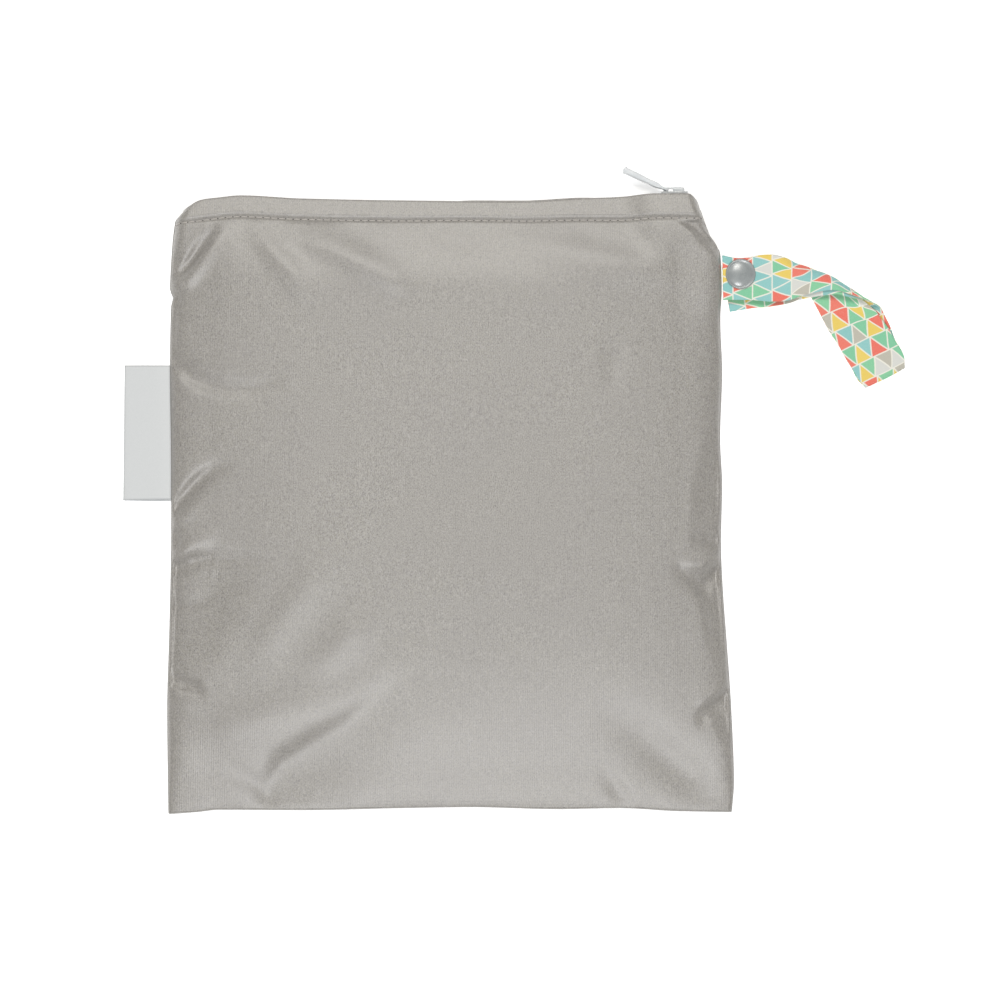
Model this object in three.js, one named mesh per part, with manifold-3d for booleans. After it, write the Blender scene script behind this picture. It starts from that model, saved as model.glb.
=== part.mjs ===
// Cloth diaper wet bag lying on its back: a knit pouch with a turned hem, a coil zipper with a pull,
// a printed snap strap turned over on itself, and a small care label folded in the left seam.
// Millimetres, +X right across the bag, +Y towards the zipper, +Z up from the surface it lies on.
import * as THREE from "three";
import { mergeVertices } from "three/addons/utils/BufferGeometryUtils.js";
import Module from "manifold-3d";

const wasm = await Module();
wasm.setup();

// Driving dimensions of the pouch
const bodyWidth = 284;
const bodyHeight = 305;
const fillHeight = 16;
const wallThickness = 1.0;
const seamThickness = 2.4;
const seamInset = 2.4;
const foldInset = 3.0;
const seamLift = 1.2;
const seamLiftReach = 24;
const hemDepth = 12;
const mouthCornerRound = 7;
const clearance = 0.3;

// Driving dimensions of the zipper
const tapeThickness = 0.8;
const tapeDepth = 10;
const tapeSplit = 2.8;
const coilWidth = 4.8;
const coilHeight = 2.4;
const coilRoom = 1.0;
const sliderLength = 13.5;
const sliderWidth = 8.2;
const sliderPlateStep = 0.4;
const sliderPlate = 1.0;
const sliderNeckLength = 2.4;
const sliderNeckInset = 0.4;
const sliderNeckWidth = 2.0;
const sliderFromMouthEnd = 13.8;
const sliderRoom = 1.1;
const sliderBulgeReach = 20;
const bridgeInset = 1.2;
const bridgeLength = 10;
const bridgeWidth = 2.4;
const bridgeThickness = 0.9;
const pullLength = 24.5;
const pullThickness = 1.0;
const pullSideRoom = 0.8;
const pullEyeRoom = 0.9;
const pullArmWidth = 1.5;
const pullBarRadius = 0.5;
const pullBarRoom = 0.2;
const pullBarFromBridgeEnd = 1.2;
const pullLipRadius = 1.3;
const pullRestDegrees = 155;

// Driving dimensions of the strap and its snap
const strapWidth = 23.4;
const strapThickness = 1.2;
const strapBelowMouth = 38.2;
const strapSeamLift = 3.9;
const strapSeamLiftReach = 16;
const frontCrestRight = 53.8;
const frontCrestDown = 3.2;
const backCrestRight = 50.1;
const backCrestDown = 1.0;
const backLeafRight = 2.3;
const backLeafDown = 5.9;
const strapEndRight = 81.4;
const strapEndDown = 49.8;
const snapFromSeam = 9.3;
const snapAboveCentre = 1.2;
const capDiameter = 15;
const capThickness = 1.2;
const backCapDiameter = 13;
const backCapThickness = 1.0;
const socketDiameter = 11;
const socketHeight = 1.8;
const studBaseHeight = 1.0;
const studPostDiameter = 4;
const studPostHeight = 1.2;

// Driving dimensions of the care label
const labelLength = 67.4;
const labelReach = 22.6;
const labelThickness = 1.0;
const labelGap = 0.6;
const labelBelowMouth = 116.2;

// Finishes of the real thing
const finishes = {
  knit: { color: 0xaaa69e, roughness: 0.9, metalness: 0 },
  tape: { color: 0xb4b0a8, roughness: 0.9, metalness: 0 },
  coil: { color: 0xe6e6e2, roughness: 0.5, metalness: 0 },
  enamel: { color: 0xf2f2f0, roughness: 0.35, metalness: 0 },
  print: { color: 0x86d0b0, roughness: 0.85, metalness: 0 },
  snap: { color: 0x8f9494, roughness: 0.3, metalness: 0 },
  label: { color: 0xd4d6d6, roughness: 0.8, metalness: 0 },
};

const { lerp, smoothstep, degToRad, clamp } = THREE.MathUtils;

// A smooth curve through table rows of [at, value], with no overshoot between rows
function curveThrough(rows) {
  const last = rows.length - 1;
  const secant = (i) => (rows[i + 1][1] - rows[i][1]) / (rows[i + 1][0] - rows[i][0]);
  const tangent = (i) => {
    if (i === 0) return secant(0);
    if (i === last) return secant(last - 1);
    const before = secant(i - 1);
    const after = secant(i);
    return before * after <= 0 ? 0 : (2 * before * after) / (before + after);
  };
  return (at) => {
    const found = rows.findIndex((row) => row[0] > at);
    const i = clamp((found < 0 ? last : found) - 1, 0, last - 1);
    const span = rows[i + 1][0] - rows[i][0];
    const t = clamp((at - rows[i][0]) / span, 0, 1);
    const t2 = t * t;
    const t3 = t2 * t;
    return (
      (2 * t3 - 3 * t2 + 1) * rows[i][1] +
      (t3 - 2 * t2 + t) * span * tangent(i) +
      (3 * t2 - 2 * t3) * rows[i + 1][1] +
      (t3 - t2) * span * tangent(i + 1)
    );
  };
}

// Side outlines: [share of the side from the bottom corner, share of the width that it lies inwards]
const leftInset = curveThrough([
  [0.0, 0.0],
  [0.17, -0.002],
  [0.3, 0.0017],
  [0.47, 0.005],
  [0.57, 0.005],
  [0.745, 0.003],
  [0.844, 0.005],
  [0.856, 0.009],
  [0.869, 0.003],
  [0.919, 0.005],
  [0.985, 0.012],
  [1.0, 0.023],
]);
const rightInset = curveThrough([
  [0.0, 0.0035],
  [0.045, 0.0],
  [0.17, 0.005],
  [0.293, 0.014],
  [0.356, 0.019],
  [0.442, 0.023],
  [0.541, 0.021],
  [0.616, 0.0245],
  [0.728, 0.021],
  [0.82, 0.0245],
  [0.86, 0.0225],
  [0.925, 0.0245],
  [0.947, 0.0385],
  [0.972, 0.049],
  [1.0, 0.058],
]);

// Mouth and fold outlines: [share from the left corner, share of the height that it lies inwards]
const topDrop = curveThrough([
  [0.0, 0.018],
  [0.0115, 0.0115],
  [0.042, 0.0],
  [0.073, -0.0033],
  [0.115, -0.0066],
  [0.23, -0.0016],
  [0.4215, 0.0016],
  [0.651, 0.0033],
  [0.766, -0.0016],
  [0.843, -0.004],
  [0.914, -0.0092],
  [0.977, -0.0092],
  [0.992, 0.0],
  [1.0, 0.013],
]);
const bottomRise = curveThrough([
  [0.0, -0.0066],
  [0.048, -0.0033],
  [0.09, 0.0006],
  [0.235, 0.0],
  [0.412, 0.0033],
  [0.535, 0.005],
  [0.694, 0.0016],
  [0.8, 0.0033],
  [0.906, -0.0016],
  [1.0, -0.0033],
]);

const topLine = bodyHeight / 2;
const strapCentreY = topLine - strapBelowMouth;
const labelCentreY = topLine - labelBelowMouth;
const corners = {
  bottomLeft: [-bodyWidth / 2 + bodyWidth * leftInset(0), -topLine + bodyHeight * bottomRise(0)],
  bottomRight: [bodyWidth / 2 - bodyWidth * rightInset(0), -topLine + bodyHeight * bottomRise(1)],
  topLeft: [-bodyWidth / 2 + bodyWidth * leftInset(1), topLine - bodyHeight * topDrop(0)],
  topRight: [bodyWidth / 2 - bodyWidth * rightInset(1), topLine - bodyHeight * topDrop(1)],
};
const mouthWidth = corners.topRight[0] - corners.topLeft[0];

const leftEdge = (v) => [
  -bodyWidth / 2 + bodyWidth * leftInset(v),
  lerp(corners.bottomLeft[1], corners.topLeft[1], v),
];
const rightEdge = (v) => [
  bodyWidth / 2 - bodyWidth * rightInset(v),
  lerp(corners.bottomRight[1], corners.topRight[1], v),
];
const topEdge = (u) => [
  lerp(corners.topLeft[0], corners.topRight[0], u),
  topLine - bodyHeight * topDrop(u),
];
const bottomEdge = (u) => [
  lerp(corners.bottomLeft[0], corners.bottomRight[0], u),
  -topLine + bodyHeight * bottomRise(u),
];

// The panel's plan: u runs from the left seam to the right, v from the bottom fold to the mouth
function panelPlan(u, v) {
  const left = leftEdge(v);
  const right = rightEdge(v);
  const top = topEdge(u);
  const bottom = bottomEdge(u);
  return [0, 1].map(
    (k) =>
      lerp(left[k], right[k], u) +
      lerp(bottom[k], top[k], v) -
      lerp(
        lerp(corners.bottomLeft[k], corners.bottomRight[k], u),
        lerp(corners.topLeft[k], corners.topRight[k], u),
        v,
      ),
  );
}

// The mouth's slot: wide enough for the hems, the tapes and the coil, and wider at the slider
const bottomPlateWidth = sliderWidth - 2 * sliderPlateStep;
const tapeAndHem = tapeThickness + clearance + 2 * wallThickness;
const mouthThickness = coilWidth + 2 * (coilRoom + tapeAndHem);
const sliderBulge = bottomPlateWidth + 2 * (sliderRoom + tapeAndHem) - mouthThickness;

const hemStart = 1 - hemDepth / bodyHeight;
const sliderCentreShare = 1 - sliderFromMouthEnd / mouthWidth;
const fromSeams = (u) => Math.min(u, 1 - u) * bodyWidth;

// How thick the lying pouch is: domed between its seams, and an even slot along the mouth
const domePower = 2.4;
const domeRoundness = 0.55;
const foldRiseShare = 0.34;
const mouthBlendStart = 0.8;

function pouchThickness(u, v) {
  const across = Math.pow(Math.max(0, 1 - Math.pow(Math.abs(2 * u - 1), domePower)), domeRoundness);
  const along = Math.sqrt(1 - Math.pow(1 - Math.min(1, v / foldRiseShare), 2));
  const dome = seamThickness + (fillHeight - seamThickness) * across * along;
  const corner = Math.min(1, (Math.min(u, 1 - u) * mouthWidth) / mouthCornerRound);
  const fromSlider = ((u - sliderCentreShare) * mouthWidth) / sliderBulgeReach;
  const slot = mouthThickness + sliderBulge * Math.exp(-Math.pow(fromSlider, 4));
  const mouth = seamThickness + (slot - seamThickness) * Math.sqrt(1 - Math.pow(1 - corner, 2));
  return lerp(dome, mouth, smoothstep(v, mouthBlendStart, hemStart));
}

// Folds and dents of the front: ends as shares of width and height from the middle,
// half width as a share of the width, and height as a share of the fill
const folds = [
  { x0: -0.426, y0: 0.439, x1: -0.479, y1: 0.374, halfWidth: 0.018, height: -0.16 },
  { x0: -0.403, y0: 0.43, x1: -0.451, y1: 0.352, halfWidth: 0.02, height: 0.09 },
  { x0: -0.489, y0: 0.343, x1: -0.475, y1: 0.347, halfWidth: 0.014, height: -0.1 },
  { x0: 0.401, y0: 0.46, x1: 0.466, y1: 0.411, halfWidth: 0.024, height: -0.22 },
  { x0: -0.396, y0: 0.061, x1: -0.489, y1: -0.008, halfWidth: 0.02, height: -0.1 },
  { x0: -0.4, y0: 0.03, x1: -0.47, y1: -0.03, halfWidth: 0.022, height: 0.06 },
  { x0: -0.327, y0: -0.067, x1: -0.474, y1: -0.097, halfWidth: 0.022, height: -0.05 },
  { x0: -0.21, y0: -0.382, x1: -0.312, y1: -0.488, halfWidth: 0.026, height: -0.1 },
  { x0: -0.27, y0: -0.37, x1: -0.35, y1: -0.46, halfWidth: 0.035, height: 0.09 },
  { x0: 0.444, y0: -0.328, x1: 0.493, y1: -0.334, halfWidth: 0.03, height: -0.12 },
  { x0: 0.43, y0: -0.056, x1: 0.475, y1: -0.046, halfWidth: 0.016, height: -0.08 },
  { x0: 0.408, y0: -0.121, x1: 0.451, y1: -0.105, halfWidth: 0.016, height: -0.06 },
];
const foldEndFade = 8;

function foldHeight(x, y, u, v) {
  const edge = Math.min(fromSeams(u), v * bodyHeight, Math.max(0, hemStart - v) * bodyHeight);
  const fade = smoothstep(edge, 0, foldEndFade);
  let height = 0;
  for (const fold of folds) {
    const start = [fold.x0 * bodyWidth, fold.y0 * bodyHeight];
    const run = [fold.x1 * bodyWidth - start[0], fold.y1 * bodyHeight - start[1]];
    const length = Math.hypot(...run);
    const along = ((x - start[0]) * run[0] + (y - start[1]) * run[1]) / (length * length);
    const nearest = clamp(along, 0, 1);
    const off = Math.hypot(x - start[0] - nearest * run[0], y - start[1] - nearest * run[1]);
    const reach = fold.halfWidth * bodyWidth;
    height += fold.height * fillHeight * Math.exp(-Math.pow(off / reach, 2));
  }
  return height * fade;
}

// The back lies flat and turns up to its seams, more where the strap is sewn in
function backHeight(u, v, y) {
  const flat = smoothstep(fromSeams(u), 0, seamLiftReach) * smoothstep(v * bodyHeight, 0, seamLiftReach);
  const mouthFade = 1 - smoothstep(v, mouthBlendStart, hemStart);
  const fromStrap = (y - strapCentreY) / strapSeamLiftReach;
  const atStrap = strapSeamLift * Math.exp(-Math.pow(fromStrap, 4)) * smoothstep(u, 0.5, 1);
  return (seamLift * mouthFade + atStrap) * (1 - flat);
}

function backPoint(u, v) {
  const [x, y] = panelPlan(u, v);
  return new THREE.Vector3(x, y, backHeight(u, v, y));
}

function frontPoint(u, v) {
  const [x, y] = panelPlan(u, v);
  const height = backHeight(u, v, y) + pouchThickness(u, v) + foldHeight(x, y, u, v);
  return new THREE.Vector3(x, y, height);
}

// A point of a surface moved along its normal; the normal looks up for positive distances
const normalStep = 0.004;

function offsetPoint(surface, u, v, distance) {
  const u0 = Math.max(0, u - normalStep);
  const u1 = Math.min(1, u + normalStep);
  const v0 = Math.max(0, v - normalStep);
  const v1 = Math.min(1, v + normalStep);
  const alongU = surface(u1, v).sub(surface(u0, v));
  const alongV = surface(u, v1).sub(surface(u, v0));
  const normal = alongU.cross(alongV).normalize();
  return surface(u, v).addScaledVector(normal, distance);
}

// A mesh geometry from vertices and triangles, turned so that its faces look out
function closedGeometry(vertices, triangles) {
  let volume = 0;
  for (const [a, b, c] of triangles) {
    volume += vertices[a].dot(new THREE.Vector3().crossVectors(vertices[b], vertices[c]));
  }
  const geometry = new THREE.BufferGeometry();
  geometry.setFromPoints(vertices);
  geometry.setIndex(triangles.flatMap(([a, b, c]) => (volume > 0 ? [a, b, c] : [a, c, b])));
  geometry.computeVertexNormals();
  return geometry;
}

function namedMesh(name, geometry, finish) {
  const mesh = new THREE.Mesh(geometry, new THREE.MeshStandardMaterial(finishes[finish]));
  mesh.name = name;
  return mesh;
}

// Joins and cuts, on solids made from closed geometries
function toSolid(geometry) {
  const bare = geometry.clone();
  bare.deleteAttribute("normal");
  bare.deleteAttribute("uv");
  const merged = mergeVertices(bare);
  return new wasm.Manifold(
    new wasm.Mesh({
      numProp: 3,
      vertProperties: new Float32Array(merged.attributes.position.array),
      triVerts: new Uint32Array(merged.index.array),
    }),
  );
}

function toGeometry(solid) {
  const made = solid.getMesh();
  const geometry = new THREE.BufferGeometry();
  geometry.setAttribute("position", new THREE.BufferAttribute(new Float32Array(made.vertProperties), 3));
  geometry.setIndex(new THREE.BufferAttribute(new Uint32Array(made.triVerts), 1));
  geometry.computeVertexNormals();
  return geometry;
}

// Columns and rows of the pouch's grid, as shares
const insideColumns = 22;
const insideRows = 21;
const firstColumnInset = 9;
const hemStepLength = 0.8;
const columnShares = [0, seamInset / bodyWidth];
for (let i = 0; i <= insideColumns; i += 1) {
  const margin = firstColumnInset / bodyWidth;
  columnShares.push(lerp(margin, 1 - margin, i / insideColumns));
}
columnShares.push(1 - seamInset / bodyWidth, 1);
const rowShares = [0, foldInset / bodyHeight];
const hemStepShare = hemStart - hemStepLength / bodyHeight;
for (let j = 1; j <= insideRows; j += 1) {
  rowShares.push(lerp(foldInset / bodyHeight, hemStepShare, j / insideRows));
}
rowShares.push(hemStart, 1);

// The pouch: outer front and back, a cavity one wall inside them, and the open mouth's double hem
function pouch() {
  const lastColumn = columnShares.length - 1;
  const lastRow = rowShares.length - 1;
  const vertices = [];
  const triangles = [];
  const add = (point) => vertices.push(point) - 1;
  const quad = (a, b, c, d) => triangles.push([a, b, c], [a, c, d]);
  const front = [];
  const back = [];
  const innerFront = [];
  const innerBack = [];
  columnShares.forEach((u, i) => {
    front.push(rowShares.map((v) => add(frontPoint(u, v))));
    back.push(rowShares.map((v) => add(backPoint(u, v))));
    innerFront.push([]);
    innerBack.push([]);
    if (i === 0 || i === lastColumn) return;
    rowShares.forEach((v, j) => {
      if (j === 0) return;
      const closed = i === 1 || i === lastColumn - 1 || j === 1;
      if (closed) {
        const middle = frontPoint(u, v).lerp(backPoint(u, v), 0.5);
        innerFront[i][j] = add(middle);
        innerBack[i][j] = innerFront[i][j];
        return;
      }
      const layers = v >= hemStart ? 2 * wallThickness : wallThickness;
      innerFront[i][j] = add(offsetPoint(frontPoint, u, v, -layers));
      innerBack[i][j] = add(offsetPoint(backPoint, u, v, layers));
    });
  });
  for (let i = 0; i < lastColumn; i += 1) {
    for (let j = 0; j < lastRow; j += 1) {
      quad(front[i][j], front[i + 1][j], front[i + 1][j + 1], front[i][j + 1]);
      quad(back[i][j], back[i][j + 1], back[i + 1][j + 1], back[i + 1][j]);
      if (i === 0 || i === lastColumn - 1 || j === 0) continue;
      quad(innerFront[i][j], innerFront[i][j + 1], innerFront[i + 1][j + 1], innerFront[i + 1][j]);
      quad(innerBack[i][j], innerBack[i + 1][j], innerBack[i + 1][j + 1], innerBack[i][j + 1]);
    }
    quad(back[i][0], back[i + 1][0], front[i + 1][0], front[i][0]);
  }
  for (let j = 0; j < lastRow; j += 1) {
    quad(front[0][j], front[0][j + 1], back[0][j + 1], back[0][j]);
    quad(back[lastColumn][j], back[lastColumn][j + 1], front[lastColumn][j + 1], front[lastColumn][j]);
  }
  for (let i = 1; i < lastColumn - 1; i += 1) {
    quad(front[i][lastRow], front[i + 1][lastRow], innerFront[i + 1][lastRow], innerFront[i][lastRow]);
    quad(innerBack[i][lastRow], innerBack[i + 1][lastRow], back[i + 1][lastRow], back[i][lastRow]);
  }
  const near = innerFront[1][lastRow];
  triangles.push([front[0][lastRow], front[1][lastRow], near]);
  triangles.push([front[0][lastRow], near, back[0][lastRow]]);
  triangles.push([near, back[1][lastRow], back[0][lastRow]]);
  const far = innerFront[lastColumn - 1][lastRow];
  triangles.push([front[lastColumn - 1][lastRow], front[lastColumn][lastRow], far]);
  triangles.push([front[lastColumn][lastRow], back[lastColumn][lastRow], far]);
  triangles.push([back[lastColumn][lastRow], back[lastColumn - 1][lastRow], far]);
  return closedGeometry(vertices, triangles);
}

// A solid through rings of points; each ring has the same number of points, in the same order
function loftRings(rings, outline) {
  const count = rings[0].length;
  const vertices = rings.flat();
  const triangles = [];
  for (let r = 0; r < rings.length - 1; r += 1) {
    for (let k = 0; k < count; k += 1) {
      const next = (k + 1) % count;
      const a = r * count + k;
      const b = r * count + next;
      const c = (r + 1) * count + next;
      const d = (r + 1) * count + k;
      triangles.push([a, b, c], [a, c, d]);
    }
  }
  const caps = THREE.ShapeUtils.triangulateShape(outline, []);
  const turn = THREE.ShapeUtils.area(outline) > 0 ? 1 : -1;
  const lastStart = (rings.length - 1) * count;
  for (const [a, b, c] of caps) {
    const face = turn > 0 ? [a, b, c] : [a, c, b];
    triangles.push([face[0], face[2], face[1]]);
    triangles.push(face.map((k) => lastStart + k));
  }
  return closedGeometry(vertices, triangles);
}

// The mouth at a grid column: the hem's inner faces at its edge and at its stitch line
function mouthColumn(u) {
  const at = (v) => ({
    front: offsetPoint(frontPoint, u, v, -2 * wallThickness),
    back: offsetPoint(backPoint, u, v, 2 * wallThickness),
  });
  return { edge: at(1), stitch: at(hemStart) };
}

const mouthColumns = columnShares.slice(2, -2).map(mouthColumn);
const coilTop = 0;
const flangeTop = -coilHeight - clearance;

// One zipper tape: a leaf inside the hem and a flange that runs in under the coil
function zipperTape(side) {
  const rings = mouthColumns.map(({ edge, stitch }) => {
    const face = edge[side];
    const low = stitch[side];
    const middleZ = (edge.front.z + edge.back.z) / 2;
    const inward = side === "front" ? -1 : 1;
    const leafAt = (depth) => face.clone().lerp(low, depth / hemDepth);
    const top = leafAt(-flangeTop);
    const corner = leafAt(-flangeTop + tapeThickness);
    const bottom = leafAt(tapeDepth);
    const outer = inward * clearance;
    const inner = inward * (clearance + tapeThickness);
    const flangeZ = middleZ - (inward * tapeSplit) / 2;
    return [
      new THREE.Vector3(bottom.x, bottom.y, bottom.z + outer),
      new THREE.Vector3(top.x, top.y, top.z + outer),
      new THREE.Vector3(top.x, top.y, flangeZ),
      new THREE.Vector3(corner.x, corner.y, flangeZ),
      new THREE.Vector3(corner.x, corner.y, corner.z + inner),
      new THREE.Vector3(bottom.x, bottom.y, bottom.z + inner),
    ];
  });
  const outline = rings[0].map((point) => new THREE.Vector2(point.y, point.z));
  return loftRings(rings, outline);
}

// The mouth's middle line at a place along X: the hem's edge, and half way between its faces
function mouthMiddle(x) {
  const found = mouthColumns.findIndex(({ edge }) => edge.front.x > x);
  const i = clamp((found < 0 ? mouthColumns.length : found) - 1, 0, mouthColumns.length - 2);
  const [a, b] = [mouthColumns[i].edge, mouthColumns[i + 1].edge];
  const t = (x - a.front.x) / (b.front.x - a.front.x);
  const y = lerp(a.front.y, b.front.y, t);
  const z = lerp((a.front.z + a.back.z) / 2, (b.front.z + b.back.z) / 2, t);
  return { y, z };
}

const sliderCentreX = corners.topRight[0] - sliderFromMouthEnd;
const sliderLeft = sliderCentreX - sliderLength / 2;
const sliderRight = sliderCentreX + sliderLength / 2;
const neckLeft = sliderRight - sliderNeckLength;
const coilEnd = neckLeft - clearance;

// The closed coil chain, its section an oval bar
const coilSides = 8;

function zipperCoil() {
  const start = mouthColumns[0].edge.front.x + clearance;
  const middles = mouthColumns.map(({ edge }) => edge.front.x).filter((x) => x > start && x < coilEnd);
  const places = [start, ...middles, coilEnd];
  const angles = Array.from({ length: coilSides }, (_, k) => ((k + 0.5) * 2 * Math.PI) / coilSides);
  const flatten = 1 / Math.cos(Math.PI / coilSides);
  const outline = angles.map(
    (angle) =>
      new THREE.Vector2(
        (coilHeight / 2) * flatten * Math.cos(angle),
        (coilWidth / 2) * flatten * Math.sin(angle),
      ),
  );
  const rings = places.map((x) => {
    const { y, z } = mouthMiddle(x);
    const centreY = y + coilTop - coilHeight / 2;
    return outline.map((point) => new THREE.Vector3(x, centreY + point.x, z + point.y));
  });
  return loftRings(rings, outline);
}

// Plates and bars in plan X and Y, extruded through the mouth's Z
function slab(outline, depth, centreZ) {
  const geometry = new THREE.ExtrudeGeometry(outline, { depth, bevelEnabled: false, curveSegments: 6 });
  return geometry.translate(0, 0, centreZ - depth / 2);
}

function boxBetween(low, high) {
  const geometry = new THREE.BoxGeometry(high[0] - low[0], high[1] - low[1], high[2] - low[2]);
  return geometry.translate((low[0] + high[0]) / 2, (low[1] + high[1]) / 2, (low[2] + high[2]) / 2);
}

// The slider plate's outline along X and across Z: a shield, wide at the neck end
const shieldTailShare = 0.72;
const shieldShoulderShare = 0.42;
const shieldRoundShare = 0.45;

function shieldOutline(width) {
  const half = width / 2;
  const tail = half * shieldTailShare;
  const shoulder = sliderRight - sliderLength * shieldShoulderShare;
  const round = half * shieldRoundShare;
  const outline = new THREE.Shape();
  outline.moveTo(sliderLeft + round, -tail);
  outline.lineTo(shoulder, -half);
  outline.lineTo(sliderRight - round, -half);
  outline.quadraticCurveTo(sliderRight, -half, sliderRight, -half + round);
  outline.lineTo(sliderRight, half - round);
  outline.quadraticCurveTo(sliderRight, half, sliderRight - round, half);
  outline.lineTo(shoulder, half);
  outline.lineTo(sliderLeft + round, tail);
  outline.quadraticCurveTo(sliderLeft, tail, sliderLeft, tail - round);
  outline.lineTo(sliderLeft, -tail + round);
  outline.quadraticCurveTo(sliderLeft, -tail, sliderLeft + round, -tail);
  return outline;
}

function sliderPlateAt(width, lowY, middleZ) {
  const depth = sliderPlate;
  const geometry = new THREE.ExtrudeGeometry(shieldOutline(width), {
    depth,
    bevelEnabled: false,
    curveSegments: 3,
  });
  geometry.rotateX(Math.PI / 2);
  return geometry.translate(0, lowY + depth, middleZ);
}

const hemEdgeY = Math.max(mouthMiddle(sliderLeft).y, mouthMiddle(sliderRight).y);
const hemLowY = Math.min(mouthMiddle(sliderLeft).y, mouthMiddle(sliderRight).y);
const sliderZ = mouthMiddle(sliderCentreX).z;
const topPlateLow = hemEdgeY + clearance;
const topPlateTop = topPlateLow + sliderPlate;
const bottomPlateTop = hemLowY + flangeTop - tapeThickness - clearance;
const bridgeLeft = sliderLeft + bridgeInset;
const bridgeRight = bridgeLeft + bridgeLength;
const bridgeGap = 2 * (pullBarRadius + pullBarRoom);
const bridgeTop = topPlateTop + bridgeGap + bridgeThickness;

// The bridge's side view: an arch over the top plate that the pull's bar passes under
function bridgeOutline() {
  const round = bridgeThickness;
  const outline = new THREE.Shape();
  const foot = topPlateTop - sliderPlate / 2;
  outline.moveTo(bridgeLeft, foot);
  outline.lineTo(bridgeLeft + bridgeThickness, foot);
  outline.lineTo(bridgeLeft + bridgeThickness, topPlateTop + bridgeGap);
  outline.lineTo(bridgeRight - 2 * bridgeThickness, topPlateTop + bridgeGap);
  outline.lineTo(bridgeRight - 2 * bridgeThickness, foot);
  outline.lineTo(bridgeRight, foot);
  outline.lineTo(bridgeRight, bridgeTop - 2 * round);
  outline.quadraticCurveTo(bridgeRight, bridgeTop, bridgeRight - 2 * round, bridgeTop);
  outline.lineTo(bridgeLeft + round, bridgeTop);
  outline.quadraticCurveTo(bridgeLeft, bridgeTop, bridgeLeft, bridgeTop - round);
  return outline;
}

function zipperSlider() {
  const top = toSolid(sliderPlateAt(sliderWidth, topPlateLow, sliderZ));
  const bottom = toSolid(sliderPlateAt(bottomPlateWidth, bottomPlateTop - sliderPlate, sliderZ));
  const neck = toSolid(
    boxBetween(
      [neckLeft, bottomPlateTop - sliderPlate / 2, sliderZ - sliderNeckWidth / 2],
      [sliderRight - sliderNeckInset, topPlateLow + sliderPlate / 2, sliderZ + sliderNeckWidth / 2],
    ),
  );
  const bridge = toSolid(slab(bridgeOutline(), bridgeWidth, sliderZ));
  return toGeometry(top.add(bottom).add(neck).add(bridge));
}

// The pull tab: a plate with an eye whose end bar lies under the bridge, and a thick lip at the tip
const pullPivot = [
  bridgeLeft + bridgeThickness + pullBarFromBridgeEnd,
  topPlateTop + bridgeGap / 2,
];
const pullWidth = bridgeWidth + 2 * (pullSideRoom + pullArmWidth);
const pullEyeLength = Math.hypot(bridgeRight - pullPivot[0], bridgeTop - pullPivot[1]) + pullEyeRoom;
const pullCornerShare = 0.5;
const barSides = 10;
const lipSides = 12;

function zipperPull() {
  const half = pullWidth / 2;
  const round = half * pullCornerShare;
  const outline = new THREE.Shape();
  outline.moveTo(0, -half);
  outline.lineTo(pullLength - round, -half);
  outline.quadraticCurveTo(pullLength, -half, pullLength, -half + round);
  outline.lineTo(pullLength, half - round);
  outline.quadraticCurveTo(pullLength, half, pullLength - round, half);
  outline.lineTo(0, half);
  const eye = new THREE.Path();
  eye.moveTo(pullBarRadius, -half + pullArmWidth);
  eye.lineTo(pullBarRadius, half - pullArmWidth);
  eye.lineTo(pullEyeLength, half - pullArmWidth);
  eye.lineTo(pullEyeLength, -half + pullArmWidth);
  outline.holes.push(eye);
  const plate = new THREE.ExtrudeGeometry(outline, {
    depth: pullThickness,
    bevelEnabled: false,
    curveSegments: 4,
  });
  plate.translate(0, 0, -pullThickness / 2);
  plate.rotateX(Math.PI / 2);
  const bar = new THREE.CylinderGeometry(pullBarRadius, pullBarRadius, pullWidth, barSides);
  bar.rotateX(Math.PI / 2);
  const lip = new THREE.CylinderGeometry(pullLipRadius, pullLipRadius, pullWidth - 2 * round, lipSides);
  lip.rotateX(Math.PI / 2);
  lip.translate(pullLength - pullLipRadius, 0, 0);
  const solid = toSolid(plate).add(toSolid(bar)).add(toSolid(lip));
  const geometry = toGeometry(solid);
  geometry.rotateZ(degToRad(pullRestDegrees));
  return geometry.translate(pullPivot[0], pullPivot[1], sliderZ);
}

// The strap's seam: where the right side seam lies at a height along the bag
const rightSeamShare = (y) => (y - corners.bottomRight[1]) / (corners.topRight[1] - corners.bottomRight[1]);

function rightSeamX(y) {
  return rightEdge(clamp(rightSeamShare(y), 0, 1))[0];
}

// Heights of the strap's leaves and the snap between them, each a clearance above the one below
const backLeafZ = backCapThickness + clearance + strapThickness / 2;
const studZ = backLeafZ + strapThickness / 2 + clearance;
const socketZ = studZ + studBaseHeight + clearance;
const frontLeafZ = socketZ + socketHeight + clearance + strapThickness / 2;
const capZ = frontLeafZ + strapThickness / 2 + clearance;
const strapSeamX = rightSeamX(strapCentreY);
const strapSeamShare = rightSeamShare(strapCentreY);
const strapSeamZ = backHeight(1, strapSeamShare, strapCentreY) + seamThickness / 2;
const snapCentre = [strapSeamX + snapFromSeam, strapCentreY + snapAboveCentre];

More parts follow.
